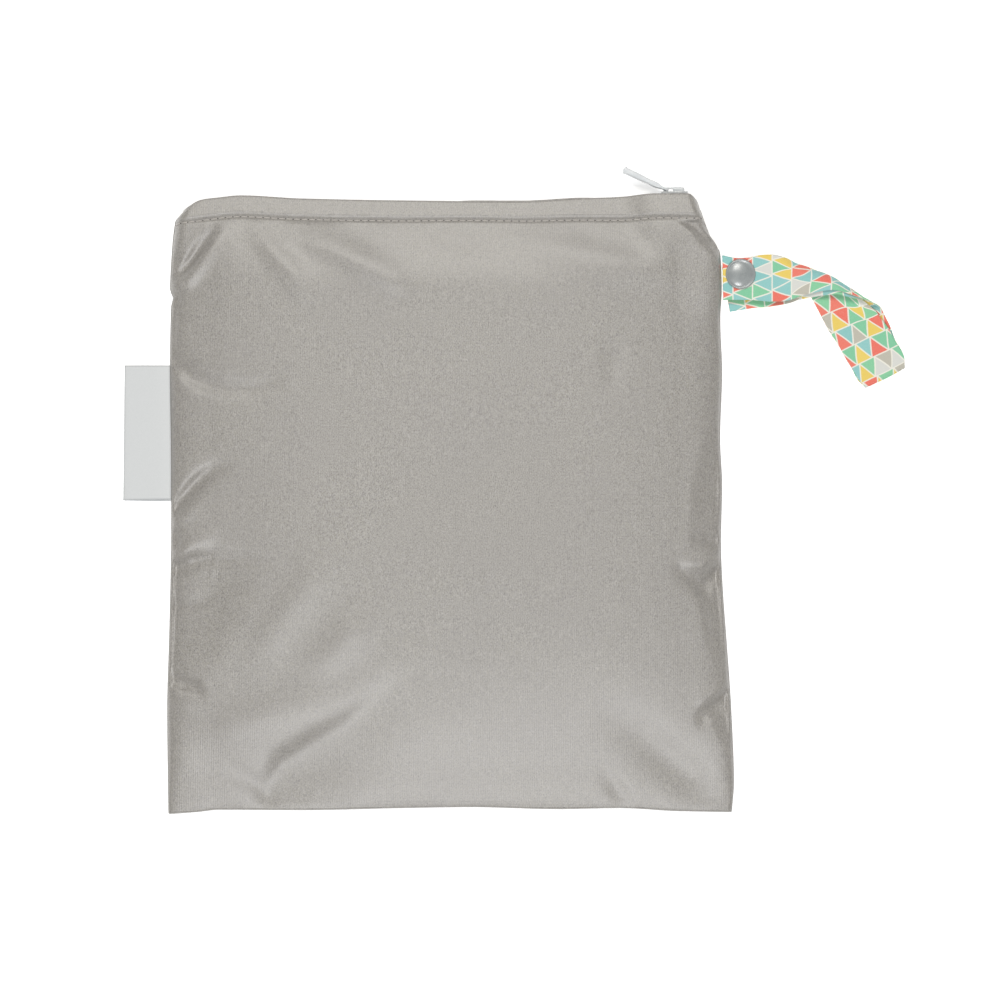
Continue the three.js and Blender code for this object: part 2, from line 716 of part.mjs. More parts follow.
// The strap's two leaves in plan: each starts flat, curls over a slanting crest and runs back under it.
// The curl opens along its crest, from a tight turn above the snap to a round one at the far end.
const frontTurn = { tight: 3.3, round: 5.2 };
const backTurn = { tight: 1.3, round: 2.9 };
const turnOpens = { from: -34, to: 12 };
const ramp = { short: 5, long: 26, from: -38, to: 10 };
const endFoldRadius = 1.3;
const strapOffFloor = 0.2;
const leafFloorZ = strapThickness / 2 + strapOffFloor;
const fromStrapSeam = (right, down) => [strapSeamX + right, strapCentreY - down];
const strapEnd = { at: fromStrapSeam(strapEndRight, strapEndDown), degrees: -60.7 };
const frontLeaf = {
  start: fromStrapSeam(2 * clearance, 0),
  degrees: 0,
  crest: fromStrapSeam(frontCrestRight, frontCrestDown),
  crestDegrees: -27.5,
  turn: frontTurn,
  startZ: frontLeafZ,
  endZ: leafFloorZ,
  length: 117,
  swing: 5.9,
  swingFrom: 26,
  swingTo: 62,
};
const backLeaf = {
  start: fromStrapSeam(backLeafRight, backLeafDown),
  degrees: 9.6,
  crest: fromStrapSeam(backCrestRight, backCrestDown),
  crestDegrees: -25.6,
  turn: backTurn,
  startZ: backLeafZ,
  endZ: leafFloorZ + 2 * endFoldRadius,
  length: 111.4,
  swing: 0,
  swingFrom: 0,
  swingTo: 1,
};
const direction = (degrees) => [Math.cos(degToRad(degrees)), Math.sin(degToRad(degrees))];

// A leaf's middle surface: along is the distance from its start, across from its middle line
function leafPoint(leaf, along, across) {
  const run = direction(leaf.degrees);
  const swing = leaf.swing * smoothstep(along, leaf.swingFrom, leaf.swingTo);
  const x = leaf.start[0] + along * run[0] - across * run[1];
  const y = leaf.start[1] + along * run[1] + across * run[0] + swing;
  const axis = direction(leaf.crestDegrees);
  const normal = [-axis[1], axis[0]];
  const offX = x - leaf.crest[0];
  const offY = y - leaf.crest[1];
  const alongCrest = offX * axis[0] + offY * axis[1];
  const past = offX * normal[0] + offY * normal[1];
  const opened = smoothstep(alongCrest, turnOpens.from, turnOpens.to);
  const radius = lerp(leaf.turn.tight, leaf.turn.round, opened);
  const rampLength = lerp(ramp.short, ramp.long, smoothstep(alongCrest, ramp.from, ramp.to));
  const topZ = leaf.endZ + 2 * radius;
  const halfTurn = Math.PI * radius;
  let reach = past;
  let z = lerp(leaf.startZ, topZ, smoothstep(past, -rampLength, 0));
  if (past > 0 && past < halfTurn) {
    reach = radius * Math.sin(past / radius);
    z = topZ - radius * (1 - Math.cos(past / radius));
  }
  if (past >= halfTurn) {
    reach = halfTurn - past;
    z = leaf.endZ;
  }
  return new THREE.Vector3(
    leaf.crest[0] + alongCrest * axis[0] + reach * normal[0],
    leaf.crest[1] + alongCrest * axis[1] + reach * normal[1],
    z,
  );
}

// The end fold's line, shared by both leaves
function strapEndPoint(across, z) {
  const run = direction(strapEnd.degrees);
  return new THREE.Vector3(strapEnd.at[0] - across * run[1], strapEnd.at[1] + across * run[0], z);
}

// A leaf drawn to the end fold over its last stretch
const gatherLength = 48;

function drawnLeafPoint(leaf, along, across) {
  const point = leafPoint(leaf, along, across);
  const end = leafPoint(leaf, leaf.length, across);
  const target = strapEndPoint(-across, end.z);
  const pull = smoothstep(along, leaf.length - gatherLength, leaf.length);
  return point.addScaledVector(target.sub(end), pull);
}

// The front leaf climbs from the seam to the snap
const seamClimb = 3;

function frontLeafPoint(along, across) {
  const point = drawnLeafPoint(frontLeaf, along, across);
  const climb = 1 - smoothstep(along, 0, seamClimb);
  point.z -= (frontLeafZ - strapSeamZ) * climb;
  const shift = (rightSeamX(point.y) - strapSeamX) * climb;
  point.x += shift;
  return point;
}

const frontStations = 30;
const backStations = 28;
const foldStations = 5;
const acrossStations = 10;
const strapFoldLength = Math.PI * endFoldRadius;
const strapLength = frontLeaf.length + strapFoldLength + backLeaf.length;

// The strap's whole middle surface, from the seam round the end fold to its free end
function strapPoint(along, across) {
  if (along <= frontLeaf.length) return frontLeafPoint(along, across);
  const folded = along - frontLeaf.length;
  if (folded >= strapFoldLength) {
    return drawnLeafPoint(backLeaf, strapLength - along, across);
  }
  const angle = folded / endFoldRadius;
  const point = strapEndPoint(-across, leafFloorZ + endFoldRadius * (1 - Math.cos(angle)));
  const run = direction(strapEnd.degrees);
  point.x += run[0] * endFoldRadius * Math.sin(angle);
  point.y += run[1] * endFoldRadius * Math.sin(angle);
  return point;
}

const strapNormalStep = 0.3;

function strap() {
  const stations = [];
  for (let k = 0; k <= frontStations; k += 1) stations.push((frontLeaf.length * k) / frontStations);
  for (let k = 1; k < foldStations; k += 1) {
    stations.push(frontLeaf.length + (strapFoldLength * k) / foldStations);
  }
  for (let k = 0; k <= backStations; k += 1) {
    stations.push(frontLeaf.length + strapFoldLength + (backLeaf.length * k) / backStations);
  }
  const step = strapNormalStep;
  const vertices = [];
  const triangles = [];
  const layer = (side) =>
    stations.map((along) => {
      const row = [];
      for (let k = 0; k <= acrossStations; k += 1) {
        const across = strapWidth * (k / acrossStations - 0.5);
        const before = Math.max(0, along - step);
        const after = Math.min(strapLength, along + step);
        const run = strapPoint(after, across).sub(strapPoint(before, across));
        const wide = strapPoint(along, across + step).sub(strapPoint(along, across - step));
        const normal = run.cross(wide).normalize();
        const point = strapPoint(along, across).addScaledVector(normal, (side * strapThickness) / 2);
        row.push(vertices.push(point) - 1);
      }
      return row;
    });
  const over = layer(1);
  const under = layer(-1);
  const quad = (a, b, c, d) => triangles.push([a, b, c], [a, c, d]);
  const last = stations.length - 1;
  for (let s = 0; s < last; s += 1) {
    for (let k = 0; k < acrossStations; k += 1) {
      quad(over[s][k], over[s + 1][k], over[s + 1][k + 1], over[s][k + 1]);
      quad(under[s][k], under[s][k + 1], under[s + 1][k + 1], under[s + 1][k]);
    }
    quad(over[s][0], under[s][0], under[s + 1][0], over[s + 1][0]);
    const k = acrossStations;
    quad(over[s][k], over[s + 1][k], under[s + 1][k], under[s][k]);
  }
  for (let k = 0; k < acrossStations; k += 1) {
    quad(over[0][k], over[0][k + 1], under[0][k + 1], under[0][k]);
    quad(over[last][k], under[last][k], under[last][k + 1], over[last][k + 1]);
  }
  return closedGeometry(vertices, triangles);
}

// Round snap pieces, each turned about the snap's middle
const roundSides = 20;

function turned(profile, z) {
  const points = profile.map(([radius, height]) => new THREE.Vector2(radius, height));
  const geometry = new THREE.LatheGeometry(points, roundSides);
  geometry.rotateX(Math.PI / 2);
  return geometry.translate(snapCentre[0], snapCentre[1], z);
}

// A cap: a disc with a rounded rim round a shallow dish, in shares of its radius and thickness
function snapCap(diameter, thickness, z) {
  const radius = diameter / 2;
  return turned(
    [
      [0, 0],
      [radius * 0.96, 0],
      [radius, thickness * 0.3],
      [radius * 0.95, thickness * 0.8],
      [radius * 0.84, thickness],
      [radius * 0.7, thickness * 0.75],
      [0, thickness * 0.75],
    ],
    z,
  );
}

function snapSocket() {
  const radius = socketDiameter / 2;
  const recess = studPostDiameter / 2 + clearance;
  const depth = studPostHeight;
  return turned(
    [
      [0, depth],
      [recess, depth],
      [recess, 0],
      [radius * 0.8, 0],
      [radius, socketHeight * 0.4],
      [radius, socketHeight],
      [0, socketHeight],
    ],
    socketZ,
  );
}

function snapStud() {
  const radius = socketDiameter / 2;
  const post = studPostDiameter / 2;
  return turned(
    [
      [0, 0],
      [radius, 0],
      [radius, studBaseHeight * 0.6],
      [radius * 0.85, studBaseHeight],
      [post * 0.85, studBaseHeight],
      [post, studBaseHeight + studPostHeight * 0.7],
      [post * 0.7, studBaseHeight + studPostHeight],
      [0, studBaseHeight + studPostHeight],
    ],
    studZ,
  );
}

// The care label: a tape folded double, its two ends in the left seam
const labelFoldSegments = 6;

function careLabel() {
  const seamX = Math.min(
    leftEdge((labelCentreY - labelLength / 2 - corners.bottomLeft[1]) / bodyHeight)[0],
    leftEdge((labelCentreY + labelLength / 2 - corners.bottomLeft[1]) / bodyHeight)[0],
  );
  const startX = seamX - clearance;
  const endX = startX - labelReach;
  const outerRadius = labelThickness + labelGap / 2;
  const innerRadius = labelGap / 2;
  const outline = new THREE.Shape();
  outline.moveTo(startX, 0);
  outline.lineTo(startX, labelThickness);
  outline.lineTo(endX + outerRadius, labelThickness);
  outline.absarc(endX + outerRadius, outerRadius, innerRadius, -Math.PI / 2, Math.PI / 2, true);
  outline.lineTo(startX, labelThickness + labelGap);
  outline.lineTo(startX, 2 * outerRadius);
  outline.lineTo(endX + outerRadius, 2 * outerRadius);
  outline.absarc(endX + outerRadius, outerRadius, outerRadius, Math.PI / 2, -Math.PI / 2, false);
  const geometry = new THREE.ExtrudeGeometry(outline, {
    depth: labelLength,
    bevelEnabled: false,
    curveSegments: labelFoldSegments,
  });
  geometry.rotateX(Math.PI / 2);
  return geometry.translate(0, labelCentreY + labelLength / 2, 0);
}

const wetBag = new THREE.Group();
wetBag.add(
  namedMesh("bag_body", pouch(), "knit"),
  namedMesh("zipper_tape_front", zipperTape("front"), "tape"),
  namedMesh("zipper_tape_back", zipperTape("back"), "tape"),
  namedMesh("zipper_coil", zipperCoil(), "coil"),
  namedMesh("zipper_slider", zipperSlider(), "enamel"),
  namedMesh("zipper_pull", zipperPull(), "enamel"),
  namedMesh("strap", strap(), "print"),
  namedMesh("snap_cap", snapCap(capDiameter, capThickness, capZ), "snap"),
  namedMesh("snap_socket", snapSocket(), "snap"),
  namedMesh("snap_stud", snapStud(), "snap"),
  namedMesh("snap_back_cap", snapCap(backCapDiameter, backCapThickness, 0), "snap"),
  namedMesh("care_label", careLabel(), "label"),
);

export default wetBag;
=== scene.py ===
"""Cloth diaper wet bag, dressed: knit pouch with a turned hem, coil zipper, printed strap, snap, label.

Lengths here are millimetres, as in the part's source, and become metres when a mesh is made.
"""

import math

import bmesh
import bpy
import numpy as np
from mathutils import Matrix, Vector


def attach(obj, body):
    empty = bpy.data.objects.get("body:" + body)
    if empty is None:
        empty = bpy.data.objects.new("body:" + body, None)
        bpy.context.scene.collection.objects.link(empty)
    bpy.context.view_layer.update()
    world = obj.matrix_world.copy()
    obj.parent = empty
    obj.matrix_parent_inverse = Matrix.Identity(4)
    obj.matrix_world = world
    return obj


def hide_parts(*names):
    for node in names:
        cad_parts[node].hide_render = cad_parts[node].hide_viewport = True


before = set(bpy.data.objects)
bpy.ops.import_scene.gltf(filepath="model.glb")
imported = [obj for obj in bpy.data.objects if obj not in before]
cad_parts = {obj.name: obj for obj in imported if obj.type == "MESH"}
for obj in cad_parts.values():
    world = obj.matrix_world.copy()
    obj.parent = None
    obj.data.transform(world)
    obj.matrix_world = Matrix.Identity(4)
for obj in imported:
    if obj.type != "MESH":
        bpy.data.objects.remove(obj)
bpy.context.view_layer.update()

METRES = 0.001

# Driving dimensions, the same as in the part's source
BODY_WIDTH = 284.0
BODY_HEIGHT = 305.0
FILL_HEIGHT = 16.0
WALL = 1.0
SEAM_THICKNESS = 2.4
SEAM_LIFT = 1.2
SEAM_LIFT_REACH = 24.0
HEM_DEPTH = 12.0
MOUTH_CORNER_ROUND = 7.0
CLEARANCE = 0.3
COIL_WIDTH = 4.8
COIL_HEIGHT = 2.4
COIL_ROOM = 1.0
TAPE_THICKNESS = 0.8
TAPE_DEPTH = 10.0
TAPE_SPLIT = 2.8
SLIDER_LENGTH = 13.5
SLIDER_WIDTH = 8.2
SLIDER_PLATE_STEP = 0.4
SLIDER_NECK_LENGTH = 2.4
SLIDER_FROM_MOUTH_END = 13.8
SLIDER_ROOM = 1.1
SLIDER_BULGE_REACH = 20.0
STRAP_WIDTH = 23.4
STRAP_THICKNESS = 1.2
STRAP_BELOW_MOUTH = 38.2
STRAP_SEAM_LIFT = 3.9
STRAP_SEAM_LIFT_REACH = 21.0
SNAP_FROM_SEAM = 9.3
SNAP_ABOVE_CENTRE = 1.2
LABEL_LENGTH = 67.4
LABEL_CENTRE_Y = 36.3


# Small maths


def lerp(a, b, t):
    return a + (b - a) * t


def direction(degrees):
    return math.cos(math.radians(degrees)), math.sin(math.radians(degrees))


def smoothstep(x, low, high):
    t = np.clip((x - low) / (high - low), 0.0, 1.0)
    return t * t * (3.0 - 2.0 * t)


def curve_through(rows):
    """A smooth curve through rows of (at, value), with no overshoot between rows."""
    at = np.array([row[0] for row in rows], float)
    value = np.array([row[1] for row in rows], float)
    secant = np.diff(value) / np.diff(at)
    tangent = np.empty(len(at))
    tangent[0], tangent[-1] = secant[0], secant[-1]
    product = secant[:-1] * secant[1:]
    total = np.where(product > 0, secant[:-1] + secant[1:], 1.0)
    tangent[1:-1] = np.where(product > 0, 2.0 * product / total, 0.0)

    def curve(x):
        x = np.clip(np.asarray(x, float), at[0], at[-1])
        i = np.clip(np.searchsorted(at, x, side="right") - 1, 0, len(at) - 2)
        span = at[i + 1] - at[i]
        t = (x - at[i]) / span
        t2, t3 = t * t, t * t * t
        return (
            (2 * t3 - 3 * t2 + 1) * value[i]
            + (t3 - 2 * t2 + t) * span * tangent[i]
            + (3 * t2 - 2 * t3) * value[i + 1]
            + (t3 - t2) * span * tangent[i + 1]
        )

    return curve


def soft_noise(x, y, wavelength, seed):
    """Smooth noise from -1 to 1 over a plane, from a grid of seeded random heights."""
    size = 64
    heights = np.random.default_rng(seed).uniform(-1.0, 1.0, (size, size))
    gx, gy = np.asarray(x) / wavelength + 31.0, np.asarray(y) / wavelength + 31.0
    ix, iy = np.floor(gx).astype(int), np.floor(gy).astype(int)
    fx, fy = gx - ix, gy - iy
    fx, fy = fx * fx * (3 - 2 * fx), fy * fy * (3 - 2 * fy)
    low = lerp(heights[ix % size, iy % size], heights[(ix + 1) % size, iy % size], fx)
    high = lerp(heights[ix % size, (iy + 1) % size], heights[(ix + 1) % size, (iy + 1) % size], fx)
    return lerp(low, high, fy)


# Meshes


def make_piece(name, points, faces, material, body="bag", uv=None):
    """A smooth-shaded mesh object from points in millimetres, riding on a body."""
    mesh = bpy.data.meshes.new(name)
    mesh.from_pydata((np.asarray(points) * METRES).tolist(), [], [list(map(int, f)) for f in faces])
    if uv is not None:
        layer = mesh.uv_layers.new(name="cloth")
        corner = np.empty(len(mesh.loops), int)
        mesh.loops.foreach_get("vertex_index", corner)
        layer.data.foreach_set("uv", np.asarray(uv, float)[corner].ravel())
    face_outwards(mesh)
    mesh.shade_smooth()
    mesh.materials.append(material)
    piece = add_object(name, mesh)
    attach(piece, body)
    return piece


def add_object(name, data):
    """A new object of the scene, from a mesh, a light or a camera."""
    made = bpy.data.objects.new(name, data)
    bpy.context.collection.objects.link(made)
    return made


def band_piece(name, over, under, material, uv=None):
    """A closed band between two grids of points, the first axis along the band."""
    ring = np.concatenate([over, under[:, ::-1]], 1)
    return make_piece(name, ring.reshape(-1, 3), tube_faces(*ring.shape[:2], 0), material, uv=uv)


def face_outwards(mesh):
    work = bmesh.new()
    work.from_mesh(mesh)
    bmesh.ops.recalc_face_normals(work, faces=work.faces)
    work.to_mesh(mesh)
    work.free()


def quads(index):
    """Quads over a grid of vertex numbers."""
    a, b, c, d = index[:-1, :-1], index[1:, :-1], index[1:, 1:], index[:-1, 1:]
    return np.stack([a, b, c, d], -1).reshape(-1, 4)


def closed_quads(index):
    """Quads over a grid whose last column joins its first."""
    return quads(np.concatenate([index, index[:, :1]], 1))


def tube_rings(path, radius, sides, normal_hint):
    """Rings round a path of points, with radius a number or one for each point."""
    path = np.asarray(path, float)
    run = np.gradient(path, axis=0)
    run /= np.linalg.norm(run, axis=1, keepdims=True)
    across = np.cross(run, np.asarray(normal_hint, float))
    across /= np.linalg.norm(across, axis=1, keepdims=True)
    up = np.cross(across, run)
    angle = np.arange(sides) * 2 * math.pi / sides
    radius = np.broadcast_to(np.asarray(radius, float), len(path))[:, None, None]
    ring = np.cos(angle)[None, :, None] * across[:, None] + np.sin(angle)[None, :, None] * up[:, None]
    return path[:, None] + radius * ring


def tube_faces(rings, sides, start):
    """Faces over rings of points, numbered from start, with both ends closed."""
    index = start + np.arange(rings * sides).reshape(rings, sides)
    faces = [list(q) for q in closed_quads(index)]
    faces.append(list(index[0]))
    faces.append(list(index[-1][::-1]))
    return faces


# Outlines of the pouch, as in the part's source

left_inset = curve_through([
    (0, 0), (0.17, -0.002), (0.3, 0.0017), (0.47, 0.005), (0.57, 0.005), (0.745, 0.003), (0.844, 0.005),
    (0.856, 0.009), (0.869, 0.003), (0.919, 0.005), (0.985, 0.012), (1, 0.023),
])
right_inset = curve_through([
    (0, 0.0035), (0.045, 0), (0.17, 0.005), (0.293, 0.014), (0.356, 0.019), (0.442, 0.023),
    (0.541, 0.021), (0.616, 0.0245), (0.728, 0.021), (0.82, 0.0245), (0.86, 0.0225), (0.925, 0.0245),
    (0.947, 0.0385), (0.972, 0.049), (1, 0.058),
])
top_drop = curve_through([
    (0, 0.018), (0.0115, 0.0115), (0.042, 0), (0.073, -0.0033), (0.115, -0.0066), (0.23, -0.0016),
    (0.4215, 0.0016), (0.651, 0.0033), (0.766, -0.0016), (0.843, -0.004), (0.914, -0.0092),
    (0.977, -0.0092), (0.992, 0), (1, 0.013),
])
bottom_rise = curve_through([
    (0, -0.0066), (0.048, -0.0033), (0.09, 0.0006), (0.235, 0), (0.412, 0.0033), (0.535, 0.005),
    (0.694, 0.0016), (0.8, 0.0033), (0.906, -0.0016), (1, -0.0033),
])

TOP_LINE = BODY_HEIGHT / 2
STRAP_CENTRE_Y = TOP_LINE - STRAP_BELOW_MOUTH


def left_x(v):
    return -BODY_WIDTH / 2 + BODY_WIDTH * left_inset(v)


def right_x(v):
    return BODY_WIDTH / 2 - BODY_WIDTH * right_inset(v)


def top_y(u):
    return TOP_LINE - BODY_HEIGHT * top_drop(u)


def bottom_y(u):
    return -TOP_LINE + BODY_HEIGHT * bottom_rise(u)


EDGE_ROLL = 0.7
HEM_ROLL = 0.9
MOUTH_LEFT = float(left_x(1.0))
MOUTH_RIGHT = float(right_x(1.0))
MOUTH_WIDTH = MOUTH_RIGHT - MOUTH_LEFT


def panel_plan(u, v):
    """The panel's plan: u from the left seam to the right, v from the bottom fold to the mouth.

    It keeps inside the outline by what the seams, the fold and the hem's edge roll out past it.
    """
    x = lerp(left_x(v) + EDGE_ROLL, right_x(v) - EDGE_ROLL, u)
    top = top_y(u) - HEM_ROLL * smoothstep(v, 0.97, 1)
    return x, lerp(bottom_y(u) + EDGE_ROLL, top, v)


TAPE_AND_HEM = TAPE_THICKNESS + CLEARANCE + 2 * WALL
MOUTH_THICKNESS = COIL_WIDTH + 2 * (COIL_ROOM + TAPE_AND_HEM)
BOTTOM_PLATE_WIDTH = SLIDER_WIDTH - 2 * SLIDER_PLATE_STEP
SLIDER_BULGE = BOTTOM_PLATE_WIDTH + 2 * (SLIDER_ROOM + TAPE_AND_HEM) - MOUTH_THICKNESS
HEM_START = 1 - HEM_DEPTH / BODY_HEIGHT
SLIDER_CENTRE_SHARE = 1 - SLIDER_FROM_MOUTH_END / MOUTH_WIDTH
DOME_POWER = 3.6
DOME_ROUNDNESS = 0.3
FOLD_RISE_SHARE = 0.46
FOLD_RISE_POWER = 3.0
FOLD_STEP = 0.18
MOUTH_BLEND_START = 0.86


def from_seams(u):
    return np.minimum(u, 1 - u) * BODY_WIDTH


def pouch_thickness(u, v):
    """How thick the lying pouch is: domed between its seams, and an even slot along the mouth."""
    across = np.maximum(0, 1 - np.abs(2 * u - 1) ** DOME_POWER) ** DOME_ROUNDNESS
    along = lerp(1, FOLD_STEP, (1 - np.clip(v / FOLD_RISE_SHARE, 0, 1)) ** FOLD_RISE_POWER)
    dome = SEAM_THICKNESS + (FILL_HEIGHT - SEAM_THICKNESS) * across * along
    corner = np.minimum(1, (np.minimum(u, 1 - u) * MOUTH_WIDTH) / MOUTH_CORNER_ROUND)
    from_slider = ((u - SLIDER_CENTRE_SHARE) * MOUTH_WIDTH) / SLIDER_BULGE_REACH
    slot = MOUTH_THICKNESS + SLIDER_BULGE * np.exp(-(from_slider**4))
    mouth = SEAM_THICKNESS + (slot - SEAM_THICKNESS) * np.sqrt(1 - (1 - corner) ** 2)
    return lerp(dome, mouth, smoothstep(v, MOUTH_BLEND_START, HEM_START))


# The hem's stitch line: share along the mouth, and how far it lies below the hem's edge
stitch_drop = curve_through([
    (0, 7.5), (0.046, 11.1), (0.16, 10.5), (0.42, 10.4), (0.55, 9.8), (0.66, 10), (0.83, 11.6),
    (0.94, 12.3), (0.975, 12.4), (1, 9),
])

# Folds of the front, in millimetres from the bag's middle. Each row is how far the fold reaches to the
# left and to the right of its line, and the line's points as x, y and the fold's height there.
FOLDS = [
    # the upper left corner: a valley in from the seam with a full roll beside it
    (2.6, 2.6, [(-118, 137.5, -0.6), (-125, 128.5, -2.4), (-130, 121.5, -3.4), (-135, 116, -2.8),
        (-139, 114, -1.4)]),
    (3.4, 4.4, [(-112, 137.5, 0.2), (-119, 127.5, 1.3), (-125, 119.5, 1.9), (-132, 111.5, 1.7),
        (-137, 109.5, 1)]),
    (2.6, 2.6, [(-139, 121.5, -1.8), (-136, 124.5, -1.6), (-133, 128.5, -0.5)]),
    (2.2, 2.4, [(-141, 106, -3.2), (-137, 103, -2.2), (-134, 101, 0)]),
    (3, 3, [(-140, 93.5, -1.6), (-139, 80, -1.2)]),
    # rolls that hang from the hem
    (6, 5, [(-97, 136.5, 0.5), (-89, 126.5, 1.3), (-80, 116.5, 1.5), (-73, 107.5, 0.9), (-66, 100.5, 0)]),
    (8, 6, [(-77, 134.5, 0.6), (-60, 128.5, 1.5), (-43, 120, 1.8), (-28, 111.5, 1.3), (-18, 104.5, 0)]),
    (7, 9, [(30, 131.5, 0.3), (60, 126.5, 1), (85, 120.5, 1.3), (115, 114.5, 0.9), (127, 107.5, 0.2)]),
    (5, 5, [(-5, 134.5, -0.4), (10, 129.5, -0.5), (20, 123.5, 0)]),
    # the left side
    (4.5, 3.5, [(-138, 71, -1.5), (-130, 64, -2), (-123, 60.5, -2), (-113, 58, -1.8), (-100, 57.5, -1.2),
        (-88, 60.5, -0.5), (-82, 58.5, 0)]),
    (4, 2.8, [(-111, 20, -0.3), (-119, 17.5, -1.8), (-125, 13.5, -2.8), (-130, 8.5, -3.4),
        (-135, 2.5, -3.2), (-139, -1.5, -2.2)]),
    (2.6, 2.6, [(-139, -8, 1.3), (-133, -5.5, 1.2), (-127, -2.5, 0.2)]),
    (2.6, 2.6, [(-140, -13.5, -1.6), (-137, -18.5, -1.6)]),
    (3.6, 3, [(-138, -26, 1.1), (-130, -20, 1.2), (-120, -15.5, 0.6), (-114, -13.5, 0)]),
    (3, 3.6, [(-139, -32, -1.4), (-128, -27.5, -2.2), (-118, -25.5, -1.6), (-105, -26, -1),
        (-93, -28.5, -0.4)]),
    (2.8, 2.8, [(-139, -50.5, -1.8), (-130, -50, -1.6), (-121, -47.5, -0.3)]),
    (10, 9, [(-53, -17.5, 0.2), (-68, -35, 1.2), (-78, -48.5, 1.5), (-88, -63.5, 1.2), (-96, -75.5, 0.3)]),
    (2.6, 3, [(-140, -86.5, -2.6), (-133, -89.5, -3.6), (-128, -90.5, -3), (-125, -93.5, -0.8)]),
    # the lower left: a valley with a crisp upper edge, a full cheek over it, and soft bumps
    (21, 7, [(-23, -87.5, -0.3), (-38, -100, -1.5), (-53, -111.5, -2.5), (-70, -121.5, -3.1),
        (-83, -130, -3.2), (-89, -140, -2.3), (-91, -149, -0.8)]),
    (11, 10, [(-58, -94.5, 0.4), (-73, -99.5, 1), (-90, -105.5, 1.3), (-110, -112.5, 1.2),
        (-129, -119.5, 0.4)]),
    (9, 9, [(-72, -83.5, 0.3), (-60, -75, 1.3), (-49, -63.5, 1.5), (-37, -50.5, 0.3)]),
    (4.5, 4, [(-109, -134.5, -0.3), (-99, -139, -1), (-91, -147.5, -1)]),
    # the lower right: a long slanting valley
    (10, 10, [(70, -100.5, 0), (95, -115, -1.6), (107, -125, -2.2), (120, -136.5, -1.8),
        (127, -143.5, -0.8)]),
    (4, 4, [(78, -136.5, -0.6), (82, -141, -1.2), (87, -147.5, -0.8)]),
    # the right side: short creases that start at the seam
    (2.8, 2.6, [(123, -17, -1.6), (128, -17.5, -3.4), (136, -18.5, -3)]),
    (3, 3, [(126, -7, 0.6), (137, -5, 1)]),
    (2.8, 2.8, [(117, -28.5, 0.4), (125, -28.5, 0.6), (134, -25.5, 0.6)]),
    (3.2, 3.4, [(115, -32.5, -1), (121, -37.5, -2.3), (125, -41, -2.6), (131, -36, -2.6),
        (136, -30.5, -2.2)]),
    (3, 4.5, [(126, -104.5, -1.8), (132, -99.5, -3.4), (140, -93.5, -3.2)]),
    (2.8, 2.8, [(126, -98.5, 0.6), (132, -93.5, 1.1), (140, -88, 1.2)]),
    (6, 6, [(81, 89.5, 0), (81, 71.5, -0.8), (80, 51.5, 0)]),
]

# Slopes: the cloth falls away to the right of each line. Each row is how far it takes, and the line's
# points as x, y and how much it falls.
SLOPES = [
    # low on the left side
    (26, [(-94, -5.5, 0), (-90, -25.5, 1), (-92, -42.5, 2.4), (-101, -60, 2.8), (-111, -75, 2.6),
        (-121, -90, 2), (-127, -105.5, 0)]),
    # the right seam: three stretches where the cloth falls away to it
    (9, [(131, -83.5, 0), (126, -67.5, 1.6), (123, -53.5, 2.6), (120, -43.5, 2.6), (116, -34, 1.2),
        (116, -30.5, 0)]),
    (10, [(118, -15.5, 0), (118, -7.5, 1.8), (119, 12.5, 1.8), (125, 32.5, 1), (127, 47.5, 0)]),
    (8, [(140, -127.5, 0), (133, -116.5, 1.6), (128, -106.5, 2.4), (126, -101.5, 0)]),
]
FOLD_END_FADE = 3.0

# The upper right corner: cloth drops away past a slanting edge, from under the hem to the seam
CORNER_EDGE = [(108, 143, 0), (112.5, 141, 1), (119.5, 136, 2.6), (125.5, 129.5, 3.6), (134, 124, 3.2)]
CORNER_DROP_ACROSS = (-0.6, 3.4)
CORNER_STITCH_FADE = 2.5
FRONT_ABOVE_BACK = 1.0
PRESSED_FLAT = 0.8


def beside_line(x, y, line):
    """For places x, y: how far the nearest point of a line is, on which side (1 is left), its value."""
    nearest = np.full(np.broadcast(x, y).shape, np.inf)
    side, value = np.zeros_like(nearest), np.zeros_like(nearest)
    for (x0, y0, start), (x1, y1, end) in zip(line, line[1:]):
        run_x, run_y = x1 - x0, y1 - y0
        length = math.hypot(run_x, run_y)
        share = np.clip(((x - x0) * run_x + (y - y0) * run_y) / length**2, 0, 1)
        off_x, off_y = x - x0 - share * run_x, y - y0 - share * run_y
        off = np.hypot(off_x, off_y) + 1e-6
        closer = off < nearest
        side = np.where(closer, (run_x * off_y - run_y * off_x) / (length * off), side)
        value = np.where(closer, lerp(start, end, share), value)
        nearest = np.where(closer, off, nearest)
    return nearest, side, value


def fold_height(x, y, u, v):
    """The sum of the folds and slopes, faded out at the seams, the bottom fold and the hem."""
    edge = np.minimum(from_seams(u), v * BODY_HEIGHT)
    edge = np.minimum(edge, np.maximum(0, (1 - v) * BODY_HEIGHT - stitch_drop(u)))
    height = np.zeros(np.broadcast(x, y).shape)
    for left, right, line in FOLDS:
        off, side, value = beside_line(x, y, line)
        height += value * np.exp(-((off / lerp(right, left, smoothstep(side, -1, 1))) ** 2))
    for reach, line in SLOPES:
        off, side, value = beside_line(x, y, line)
        height -= value * smoothstep(-off * side, 0, reach)
    return height * smoothstep(edge, 0, FOLD_END_FADE)


def corner_drop(x, y, u, v):
    """How far the cloth drops past the upper right corner's slanting edge."""
    off, side, value = beside_line(x, y, CORNER_EDGE)
    from_stitch = (1 - v) * BODY_HEIGHT - stitch_drop(u)
    beyond = smoothstep(off * side, *CORNER_DROP_ACROSS) * smoothstep(from_stitch, 0, CORNER_STITCH_FADE)
    return value * beyond * smoothstep(from_seams(u), 0, FOLD_END_FADE)


